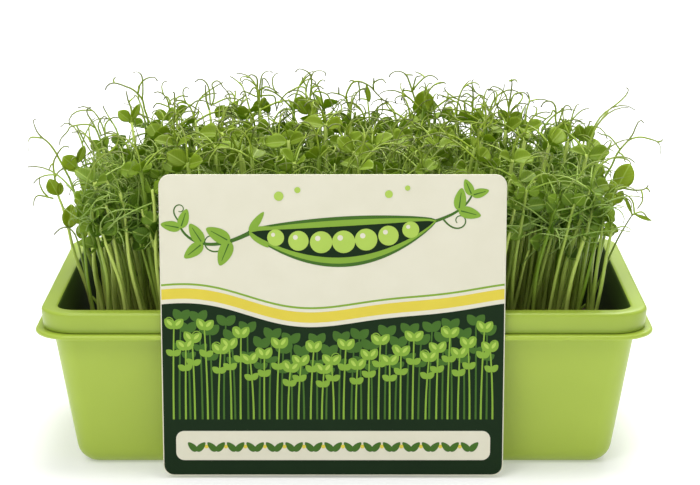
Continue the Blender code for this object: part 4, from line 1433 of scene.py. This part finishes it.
# The tallest shoots, which stand out at the edge of the canopy. Each is listed: its depth,
# its tendrils through points (x, z), and its leaves as (foot, tip, width), all in millimetres.
TALL_SHOOTS = (
    # The left end's highest hook.
    (10, (
        (
            (-143.5, 131), (-146.5, 137), (-150.5, 145), (-154, 150), (-157, 152.5), (-160, 156),
            (-162, 161.5), (-160.5, 162.5),
        ),
        ((-157, 152.5), (-163, 153), (-166, 152), (-168, 149.5), (-167.5, 145.5)),
    ), ()),
    # The left end's curl, over a pair of leaves.
    (0, (
        (
            (-148.5, 124), (-150, 133.5), (-150.5, 141), (-148.5, 145.5), (-146.5, 148.5), (-144.5, 150),
            (-142, 149.5),
        ),
        ((-150.5, 141), (-152, 140), (-153, 138)),
        ((-150, 133.5), (-148, 137), (-145.5, 138.5)),
        ((-151, 122.5), (-155, 123.5), (-158.5, 124), (-160.5, 122), (-161, 118.5)),
        ((-154, 123.5), (-156, 126), (-157.5, 130.5), (-157, 133)),
    ), (
        ((-148.5, 124), (-152.5, 132.5), 7.5),
        ((-148, 124), (-147, 131), 4),
    )),
    # The loop on the left shoulder.
    (20, (
        (
            (-127, 146.5), (-129, 152.5), (-130.5, 156), (-132.5, 160), (-134.5, 163.5), (-134.5, 166),
            (-132.5, 167),
        ),
        (
            (-130.5, 156), (-133, 157.5), (-136, 158), (-140.5, 157.5), (-144, 156.5), (-145, 154.5),
            (-149, 150), (-149.5, 147),
        ),
        ((-140.5, 157.5), (-138.5, 153), (-137, 149.5), (-134.5, 145), (-132.5, 141.5)),
        ((-127.5, 152), (-129, 157.5), (-126, 162), (-124, 161)),
        ((-125.5, 153), (-125.5, 157.5), (-123.5, 160.5), (-120.5, 162), (-119, 161.5)),
    ), (
        ((-128, 143), (-132, 149), 6.5),
        ((-127.5, 144.5), (-124.5, 151), 5),
    )),
    # Leaves at the left edge.
    (0, (
        ((-138, 137.5), (-138.5, 143), (-137, 148)),
    ), (
        ((-138.5, 138.5), (-145, 144.5), 8.5),
        ((-138, 141), (-134.5, 149.5), 4.5),
    )),
    # A three-leaved tip.
    (20, (
        ((-111.5, 159), (-111.5, 166), (-113, 170.5), (-114, 175.5)),
        ((-112.5, 170), (-110, 173)),
    ), (
        ((-112, 159.5), (-118, 164.5), 6.5),
        ((-111.5, 160), (-107.5, 168), 4),
    )),
    # The tall double hook.
    (30, (
        (
            (-103.5, 155.5), (-104, 160), (-105.5, 164.5), (-106.5, 169.5), (-111, 174.5),
            (-115.5, 176.5), (-119.5, 178), (-123, 178), (-125, 176.5), (-126, 174.5),
        ),
        ((-121, 178), (-121.5, 180), (-120.5, 181.5)),
        (
            (-106.5, 169.5), (-106, 174), (-106, 179), (-106.5, 182.5), (-108, 184.5), (-109.5, 185),
            (-110.5, 184),
        ),
        ((-108.5, 173), (-107.5, 177), (-105.5, 179.5), (-102.5, 181), (-99.5, 181), (-98, 179)),
    ), ()),
    # A crown of short hooks.
    (30, (
        ((-89.5, 164.5), (-89.5, 168.5), (-89.5, 172.5), (-90.5, 173.5)),
        ((-89.5, 168), (-88, 170.5), (-85.5, 171.5), (-82.5, 171)),
        ((-91.5, 167), (-93, 170.5), (-94.5, 171), (-95.5, 169.5)),
        ((-92.5, 165.5), (-98.5, 167.5), (-101, 165)),
        ((-88.5, 166.5), (-86, 168), (-80.5, 166), (-77.5, 164)),
        ((-86.5, 160), (-84, 164), (-80.5, 166.5), (-77.5, 168.5), (-74, 168.5), (-71, 167)),
    ), (
        ((-94, 158), (-98.5, 163.5), 5.5),
        ((-93, 158), (-91, 165), 3.5),
    )),
    # Loops over one leaf.
    (35, (
        ((-71.5, 163), (-73, 168), (-73.5, 173.5), (-73.5, 176.5)),
        ((-71, 166), (-71.5, 173.5), (-73, 177.5), (-76, 179.5), (-79, 178)),
        (
            (-70.5, 165), (-69, 169), (-69, 173.5), (-70, 176.5), (-67.5, 178.5), (-65.5, 177.5),
            (-64, 175), (-62.5, 173.5),
        ),
        ((-69.5, 166), (-64.5, 168.5), (-61, 169.5), (-57, 169), (-54.5, 168)),
    ), (
        ((-68, 158.5), (-64.5, 165), 5.5),
    )),
    # A fountain of tendrils.
    (35, (
        ((-45.5, 166), (-46, 173.5), (-46, 179), (-47, 181), (-49.5, 182), (-51.5, 180)),
        ((-45, 168.5), (-44.5, 177), (-43, 182.5), (-39.5, 184.5), (-38, 183)),
        ((-44, 169.5), (-43.5, 176.5), (-43, 180), (-41, 178.5), (-39.5, 175.5)),
        ((-45, 173.5), (-41, 175.5), (-34.5, 172)),
        ((-44.5, 170.5), (-39.5, 171), (-37, 170), (-36.5, 166), (-36, 162.5)),
        ((-45.5, 173), (-48, 175), (-51, 170.5)),
        ((-46.5, 170), (-53, 173), (-55.5, 171)),
    ), (
        ((-44, 169.5), (-40, 161.5), 5),
        ((-45, 169), (-47.5, 162), 4),
    )),
    # The tall fork over a pair of leaves.
    (40, (
        ((-19, 160), (-18.5, 166.5), (-17.5, 176), (-17.5, 179), (-19, 182.5), (-24, 185), (-26, 182.5)),
        (
            (-19.5, 163), (-20.5, 170.5), (-20, 174.5), (-19, 178), (-17.5, 180), (-16, 183),
            (-12, 183.5), (-10, 182), (-10, 180.5),
        ),
        (
            (-20.5, 170.5), (-20.5, 173.5), (-23.5, 174.5), (-27, 173), (-31, 170.5), (-34.5, 166),
            (-36, 161.5),
        ),
        ((-20, 167), (-23, 170), (-27, 171), (-30.5, 169)),
        ((-18, 170), (-15, 172), (-9.5, 170.5), (-7, 166), (-5.5, 161.5)),
        ((-17.5, 173.5), (-16, 174.5), (-13, 174.5), (-11, 173)),
        ((-20, 174.5), (-22, 178), (-22.5, 180)),
    ), (
        ((-19.5, 159.5), (-24, 167), 7),
        ((-19, 159.5), (-15, 167), 7),
    )),
    # The wide arch.
    (40, (
        (
            (3, 161), (1.5, 166.5), (1, 170.5), (4, 176.5), (7, 177.5), (10.5, 176.5), (14, 174.5),
            (16, 172), (20.5, 167.5), (23.5, 166.5),
        ),
        ((6, 177), (4, 178), (2.5, 177.5)),
        ((7.5, 177), (8, 172.5), (8, 167)),
        ((15.5, 173), (15.5, 176.5), (19.5, 178.5), (22, 176)),
        ((15.5, 176.5), (15.5, 179)),
        ((1, 168), (-1, 170), (-6.5, 171.5), (-10, 170.5)),
        ((-3, 171), (-3, 174)),
    ), (
        ((11.5, 176), (13, 167), 3),
    )),
    # Two spreading hooks over a large leaf.
    (38, (
        (
            (40.5, 160.5), (38, 166.5), (36, 172.5), (34.5, 177), (32.5, 181.5), (29.5, 183.5),
            (27, 183.5), (24.5, 182), (23.5, 180),
        ),
        ((32, 181.5), (36.5, 181.5)),
        ((36, 172.5), (37, 177), (38, 180), (40.5, 180.5)),
        ((36.5, 173), (38, 175.5), (42.5, 180), (45.5, 181), (48, 180), (49.5, 178.5)),
        ((42.5, 180), (40.5, 182), (37.5, 183.5)),
        ((36.5, 172), (33, 173), (31, 172.5), (30.5, 167.5)),
        ((42.5, 165.5), (42.5, 171.5), (43, 175), (42.5, 177.5)),
    ), (
        ((42, 161), (42, 172), 10.5),
    )),
    # A crown over a pair of leaves.
    (35, (
        ((67.5, 158.5), (68, 167), (68, 171), (67.5, 174.5), (65.5, 176), (64, 176)),
        ((68, 166), (66, 167.5), (60, 168)),
        ((68, 169.5), (65.5, 171.5), (63.5, 171.5), (61.5, 169.5)),
        ((68, 168), (70.5, 170.5), (72.5, 171), (76, 168.5)),
        ((68, 163), (75, 164.5), (78.5, 164.5)),
        ((64.5, 158), (62, 162.5), (60, 167), (55, 167), (52.5, 164), (50, 159)),
        ((58.5, 167.5), (55.5, 169), (50, 171), (49, 168.5)),
    ), (
        ((66.5, 155), (63, 161), 5),
        ((68, 155.5), (71.5, 161.5), 5),
    )),
    # The right shoulder's fork.
    (35, (
        ((87, 157), (87, 165), (88, 172), (88.5, 177.5), (88, 179.5)),
        ((87, 178.5), (90, 179), (91, 177.5)),
        ((87, 163.5), (85.5, 170.5), (83, 174), (80, 175.5), (78, 175.5), (76.5, 173.5)),
        ((87, 164), (89, 170), (91, 172), (94.5, 172.5), (96.5, 171.5), (98, 169)),
        ((89.5, 159), (92, 162), (90.5, 166)),
        ((85.5, 159.5), (83, 163), (80.5, 165), (79, 167)),
    ), (
        ((86.5, 157), (82, 162.5), 5.5),
        ((87.5, 157), (93.5, 161), 6.5),
    )),
    # The right shoulder's small hooks.
    (25, (
        (
            (112, 156), (111, 159.5), (111, 165.5), (109.5, 168.5), (107, 169.5), (104.5, 168.5),
            (103, 166),
        ),
        (
            (112.5, 157), (113.5, 160.5), (114.5, 164), (115.5, 166.5), (117, 167), (118.5, 166),
            (119, 164),
        ),
        ((111, 163.5), (109.5, 164.5), (108.5, 162), (106, 160), (103.5, 157.5)),
        ((106, 160), (99.5, 162), (97.5, 160.5)),
        ((113.5, 160.5), (116, 157.5), (121.5, 155.5)),
        ((117, 157.5), (119, 158.5), (121, 157.5)),
    ), (
        ((114, 150.5), (117, 158.5), 7.5),
    )),
    # Leaves on the right shoulder.
    (15, (
        ((125, 149), (126, 156), (127.5, 158.5), (128, 160.5), (129, 160)),
    ), (
        ((125, 149.5), (122, 158), 6.5),
        ((125.5, 149.5), (129, 158), 6.5),
        ((131.5, 138.5), (135, 147), 7.5),
    )),
    # The right end's highest hook.
    (10, (
        (
            (135, 129.5), (137, 133.5), (139.5, 138), (141.5, 143), (144, 147), (147.5, 151),
            (150, 154.5), (151.5, 158.5), (153.5, 162), (155.5, 160.5),
        ),
        (
            (147.5, 151), (150.5, 152.5), (154.5, 153), (159, 152), (163.5, 150.5), (166, 148),
            (166.5, 145.5), (166, 143.5),
        ),
        ((163.5, 150.5), (166.5, 151), (167, 152.5)),
        ((143.5, 146.5), (139.5, 152), (137, 154), (134.5, 154.5), (132, 156)),
        ((143, 145), (145, 143), (146, 139.5)),
    ), ()),
    # The right end's arm, with a large leaf.
    (0, (
        ((136, 120.5), (141, 127), (144, 128), (149, 127), (154, 127), (156.5, 128), (157.5, 129.5)),
        ((156, 128), (157.5, 127.5), (158.5, 126)),
        ((154, 127), (154.5, 124), (154, 120.5), (151.5, 117)),
    ), (
        ((140.5, 126.5), (148, 139.5), 11),
        ((139, 119.5), (144.5, 125.5), 5.5),
    )),
    # The right end's lowest shoot.
    (-10, (
        ((129, 71.5), (134, 85.5), (140.5, 101.5), (145.5, 111), (148.5, 116)),
        ((149.5, 117), (148.5, 122.5), (146, 125.5), (142, 127.5)),
        ((148.5, 116), (146, 122), (143, 126.5)),
        ((148.5, 116), (153.5, 117.5), (157.5, 113)),
    ), (
        ((148.5, 116), (144.5, 125), 2),
        ((149, 116.5), (158, 113), 2),
    )),
    # The left end's lowest shoot.
    (-10, (
        (
            (-132.5, 73.5), (-135.5, 91), (-138.5, 104), (-141, 108), (-143.5, 109.5), (-147, 108.5),
            (-150, 105.5),
        ),
    ), (
        ((-140.5, 122), (-142, 109.5), 8.5),
        ((-133, 112.5), (-136.5, 104), 7),
    )),
    # Leaves in front, left of the card.
    (-60, (
        ((-101.5, 114), (-102, 128.5), (-101, 140.5), (-102.5, 145.5), (-105.5, 148.5)),
    ), (
        ((-101, 141), (-98.5, 129), 15),
        ((-95, 118.5), (-96, 111), 7.5),
    )),
    # A leaf in front, right of the card.
    (-60, (
        ((91.5, 109), (92, 123.5), (92.5, 131.5), (93.5, 139.5)),
    ), (
        ((92.5, 131.5), (96.5, 141.5), 8.5),
    )),
)
TALL_TENDRIL_RINGS = 20
TALL_SWING = 6.0
TALL_STEM_RADII = (1.3 * MM, 1.2 * MM, 1.0 * MM, 0.8 * MM, 0.62 * MM)
TALL_TENDRIL_RADII = (0.62 * MM, 0.55 * MM, 0.36 * MM)
TALL_BRANCH_RADII = (0.5 * MM, 0.45 * MM, 0.32 * MM)
DEPTH_SLOPE = 0.23


def smooth_line(points, depth, swing):
    """A smooth line through points (x, z), which swings away from its depth as it goes on. What
    comes forward is raised a little, as it is then seen from above."""
    points = [Vector((x, 0, z)) for x, z in points]
    points = [2 * points[0] - points[1], *points, 2 * points[-1] - points[-2]]
    count = 4 * (len(points) - 3)
    line = []
    for i in range(count + 1):
        at = min(i // 4, len(points) - 4)
        t = i / 4 - at
        before, start, end, after = points[at:at + 4]
        point = 0.5 * (
            2 * start + (end - before) * t + (2 * before - 5 * start + 4 * end - after) * t**2
            + (3 * start - before - 3 * end + after) * t**3
        )
        aside = swing * i / count
        line.append(MM * (point + Vector((0, depth + aside, -DEPTH_SLOPE * aside))))
    return line


draw = random.Random(8)
tall_tendril_blank = rod_blank(5, TALL_TENDRIL_RINGS)
tall_copies = []
for depth, lines, leaves in TALL_SHOOTS:
    tint = draw.random()
    tip = MM * Vector((lines[0][0][0], depth, lines[0][0][1]))
    foot = Vector((tip.x / LEAN_X, tip.y / LEAN_Y, FOOT_Z))
    shoot = {"foot": foot, "tip": tip, "sway": draw.uniform(0, 2 * math.pi)}
    stem = [foot - 3 * MM * UP, *stem_line(shoot)]
    tall_copies.append(rod(stem_blank, STEM, STEM_RINGS, stem, TALL_STEM_RADII, tint))
    tall_copies.append(seed_copy(draw, (foot.x, foot.y, SEED_Z - 1 * MM), tint))
    for number, points in enumerate(lines):
        line = smooth_line(points, depth, draw.uniform(-TALL_SWING, TALL_SWING) if number else 0)
        radii = TALL_BRANCH_RADII if number else TALL_TENDRIL_RADII
        tall_copies.append(rod(tall_tendril_blank, TENDRIL, TALL_TENDRIL_RINGS, line, radii, tint))
    for foot, tip, width in leaves:
        foot = MM * Vector((foot[0], depth, foot[1]))
        axis = MM * Vector((tip[0], depth, tip[1])) - foot
        length = axis.length
        axis = (axis.normalized() + draw.uniform(-0.2, 0.2) * Vector((0, 1, 0))).normalized()
        front = Vector((draw.uniform(-0.3, 0.3), -1, draw.uniform(0, 0.4)))
        front = (front - front.dot(axis) * axis).normalized()
        leaf = {
            "root": foot, "axis": axis, "side": axis.cross(front), "front": front,
            "length": length, "width": width * MM, "bend": draw.uniform(-0.2, 0.05),
        }
        tall_copies.append(leaf_copy(fine_leaf_blank, leaf, draw.random(), draw.uniform(0, 6)))
plant_piece("shoots_tallest", tall_copies)

# The shoots between them fill the stand, about one and a half to a square centimetre: they grow
# and are finished like the planned ones, in sixteen pieces.
BETWEEN_PITCH = (8.2 * MM, 8.2 * MM)
BETWEEN_REACH = (124.0 * MM, 62.0 * MM)
BETWEEN_CLEAR = 4.4 * MM
BETWEEN_BLOCKS = (8, 2)
LEAF_ZONE_Z = 112.0 * MM
WEB_TENDRILS = (3, 4, 5)
ARCH_LENGTH = (15, 32)
WEB_LENGTH = (14, 32)
ARCH_R = 0.46 * MM
WEB_R = 0.42 * MM
END_SHOOT_X = 100.0 * MM
END_SHOOT_BAND = 20.0 * MM
SPARSE_FROM = 0.4


def leaf_pair(draw, root, outward, size):
    """Two leaves that spread like wings on the two sides of a stem, with their faces outwards."""
    facing = level(outward) + draw.uniform(-0.3, 0.6) * UP
    facing.normalize()
    across = UP.cross(facing).normalized()
    upward = facing.cross(across)
    lift = draw.uniform(0.1, 0.95)
    pair = []
    for hand in (-1, 1):
        axis = hand * math.cos(lift) * across + math.sin(lift) * upward
        axis = (axis + draw.uniform(-0.35, 0.35) * facing).normalized()
        front = (facing - facing.dot(axis) * axis + 0.3 * unit_draw(draw)).normalized()
        front = (front - front.dot(axis) * axis).normalized()
        length = size * draw.uniform(0.9, 1.15)
        pair.append({
            "root": root + 0.6 * MM * axis,
            "axis": axis,
            "side": axis.cross(front),
            "front": front,
            "length": length,
            "width": length * draw.uniform(0.85, 1.0),
            "bend": draw.uniform(-0.25, 0.15),
        })
    return pair


def between_shoot(draw, x, y):
    """One more shoot: a thin stem, leaf pairs at its nodes, and forked tendrils that arch over. Out
    at the ends of the stand it has fewer tendrils and shorter ones."""
    turn = draw.uniform(0, 2 * math.pi)
    foot = Vector((x, y, FOOT_Z - 2 * MM))
    end = min(1, max(0, (abs(x) - END_SHOOT_X) / END_SHOOT_BAND))
    sparse = end >= SPARSE_FROM
    lean = LEAN_X - 0.06 * end
    tip = Vector((x * lean, y * LEAN_Y, 0)) + draw.uniform(0, 9 - 4 * end) * MM * level(turn)
    tip.z = MIX_TOP_Z + canopy_rise(tip.x, tip.y) * draw.uniform(0.72, 0.93)
    tip.z = max(tip.z, LEAF_ZONE_Z + draw.uniform(12, 20) * MM)
    shoot = {"foot": foot, "tip": tip, "sway": draw.uniform(0, 2 * math.pi)}
    tint = draw.random()
    line = [foot - 3 * MM * UP, *stem_line(shoot)]
    slim = draw.uniform(0.66, 0.9)
    copies = [rod(stem_blank, STEM, STEM_RINGS, line, [slim * radius for radius in STEM_RADII], tint)]
    copies.append(seed_copy(draw, (x + 2 * MM, y, SEED_Z - 0.5 * MM), tint))
    outward = math.atan2(tip.y / LIP_HALF[1], tip.x / LIP_HALF[0])
    leaf_span = (LEAF_ZONE_Z + 10 * MM * end - foot.z) / (tip.z - foot.z)
    low = leaf_span + draw.uniform(0.0, 0.12)
    nodes = (
        (low, 0.7 * (1 - end), (7.5, 11.0), draw.choice((0, 1))),
        ((low + 1) / 2 + draw.uniform(-0.06, 0.06), 0.8, (5.5, 9.0), 1),
        (0.88, 0.6 if y > 0 else 0.2, (5.5, 8.5), 0),
        (0.985, 0.95, (4.5, 8.0), draw.choice((1, 2, 3))),
    )
    for node_share, chance, sizes, tendrils in nodes:
        root = stem_point(shoot, min(node_share, 0.985))
        if draw.random() < chance:
            for leaf in leaf_pair(draw, root, outward + draw.gauss(0, 0.8), draw.uniform(*sizes) * MM):
                copies.append(leaf_copy(plain_leaf_blank, leaf, draw.random(), draw.uniform(0, 6)))
        for _ in range(min(tendrils, 1) if sparse else tendrils):
            line = arching_line(
                draw, root, outward + draw.gauss(0, 1.5),
                draw.uniform(*ARCH_LENGTH) * (1 - 0.4 * end) * MM,
                draw.uniform(0.2, 1.5), draw.uniform(0.8, 3.2),
            )
            forks = 0 if sparse else draw.choice((0, 1))
            copies += forked_tendril(draw, line, ARCH_R, forks, draw.random())
    for _ in range(0 if sparse else draw.choice(WEB_TENDRILS)):
        root = stem_point(shoot, draw.uniform(leaf_span + 0.04, 0.98))
        sideways = draw.choice((-1, 1)) * Vector((1, 0, 0)) + draw.uniform(-0.4, 1.3) * UP
        heading = sideways + draw.uniform(-1.0, 0.2) * Vector((0, 1, 0))
        line = curling_line(
            root, heading, unit_draw(draw), draw.uniform(*WEB_LENGTH) * (1 - 0.5 * end) * MM,
            draw.uniform(-3.0, 3.0), draw.uniform(0.7, 2.0),
        )
        copies += forked_tendril(draw, line, WEB_R, draw.choice((0, 0, 1)), draw.random())
    return copies


def between_places(draw):
    """Jittered places between the planned plants, each clear of their seeds."""
    taken = [Vector((*plant["place"], 0)) for plant in plants]
    for column in range(-16, 17):
        for row in range(-8, 9):
            x = column * BETWEEN_PITCH[0] + draw.uniform(-1.8, 1.8) * MM
            y = (row + 0.5 * (column % 2)) * BETWEEN_PITCH[1] + draw.uniform(-1.8, 1.8) * MM
            at = Vector((x, y, 0))
            inside = abs(x) < BETWEEN_REACH[0] and abs(y) < BETWEEN_REACH[1]
            if inside and min((at - other).length for other in taken) > BETWEEN_CLEAR:
                yield x, y


draw = random.Random(33)
blocks = {}
for x, y in between_places(draw):
    column = min(BETWEEN_BLOCKS[0] - 1, int((x / BETWEEN_REACH[0] + 1) / 2 * BETWEEN_BLOCKS[0]))
    row = int(y > 0)
    blocks.setdefault((row, column), []).extend(between_shoot(draw, x, y))
for number, key in enumerate(sorted(blocks), 1):
    plant_piece(f"shoots_between_{number:02d}", blocks[key])

# Studio: a white floor under a white sky that is brightest overhead, a large soft light from the
# upper left in front, one from above, and one from behind that lights up the rim of the leaves.
CAMERA_AT = (2.9 * MM, -1219.0 * MM, 380.0 * MM)
CAMERA_TILT = math.radians(90 - 12.98)
CAMERA_LENS = 123.43
FLOOR_HALF = 12.0
SKY_STRENGTH = (0.1, 1.1)
FLOOR_GLOW = 0.3
AIM_AT = Vector((0, 0, 90.0 * MM))
LIGHTS = (
    ("key", (-0.8, -1.5, 1.5), 1.0, 12.0),
    ("top", (0.1, 0.1, 1.9), 1.2, 21.0),
    ("back", (0.3, 1.2, 1.4), 1.2, 20.0),
)

bpy.ops.object.select_all(action="DESELECT")
bpy.ops.mesh.primitive_plane_add(size=2 * FLOOR_HALF)
floor = bpy.context.object
floor.name = "studio_floor"
white_sweep = new_finish("white_sweep")
place = add_node(white_sweep, "TexCoord").outputs["Object"]
sweep_cloud = add_node(white_sweep, "TexNoise", {"Vector": place, "Scale": 1 / (500 * MM)})
sweep_colour = add_node(
    white_sweep, "MixRGB",
    {"Fac": sweep_cloud.outputs["Fac"], "Color1": linear("#DEDEDE"), "Color2": linear("#DCDCDC")},
)
show(white_sweep, add_node(
    white_sweep, "BsdfPrincipled",
    {"Base Color": sweep_colour.outputs["Color"], "Roughness": 0.9, "Specular IOR Level": 0.1,
     "Emission Color": (1, 1, 1, 1), "Emission Strength": FLOOR_GLOW},
))
floor.data.materials.append(white_sweep)

sky = bpy.data.worlds.new("white_sky")
bpy.context.scene.world = sky
sky.use_nodes = True
direction = add_node(sky, "TexCoord").outputs["Generated"]
sky_height = add_node(sky, "SeparateXYZ", {"Vector": direction}).outputs["Z"]
sky_light = add_node(
    sky, "MapRange",
    {"Value": sky_height, "From Min": 0.0, "To Min": SKY_STRENGTH[0], "To Max": SKY_STRENGTH[1]},
)
background = sky.node_tree.nodes["Background"]
background.inputs["Color"].default_value = (1, 1, 1, 1)
sky.node_tree.links.new(sky_light.outputs["Result"], background.inputs["Strength"])
for name, at, size, power in LIGHTS:
    lamp = bpy.data.lights.new(name, "AREA")
    lamp.shape = "DISK"
    lamp.size = size
    lamp.energy = power
    stand = bpy.data.objects.new(name, lamp)
    stand.location = at
    stand.rotation_euler = (AIM_AT - Vector(at)).to_track_quat("-Z", "Y").to_euler()
    bpy.context.scene.collection.objects.link(stand)

camera = bpy.data.objects.new("camera", bpy.data.cameras.new("camera"))
camera.location = CAMERA_AT
camera.rotation_euler = (CAMERA_TILT, 0, 0)
camera.data.lens = CAMERA_LENS
camera.data.clip_end = 50
bpy.context.scene.collection.objects.link(camera)
bpy.context.scene.camera = camera
bpy.context.scene.view_settings.view_transform = "Standard"
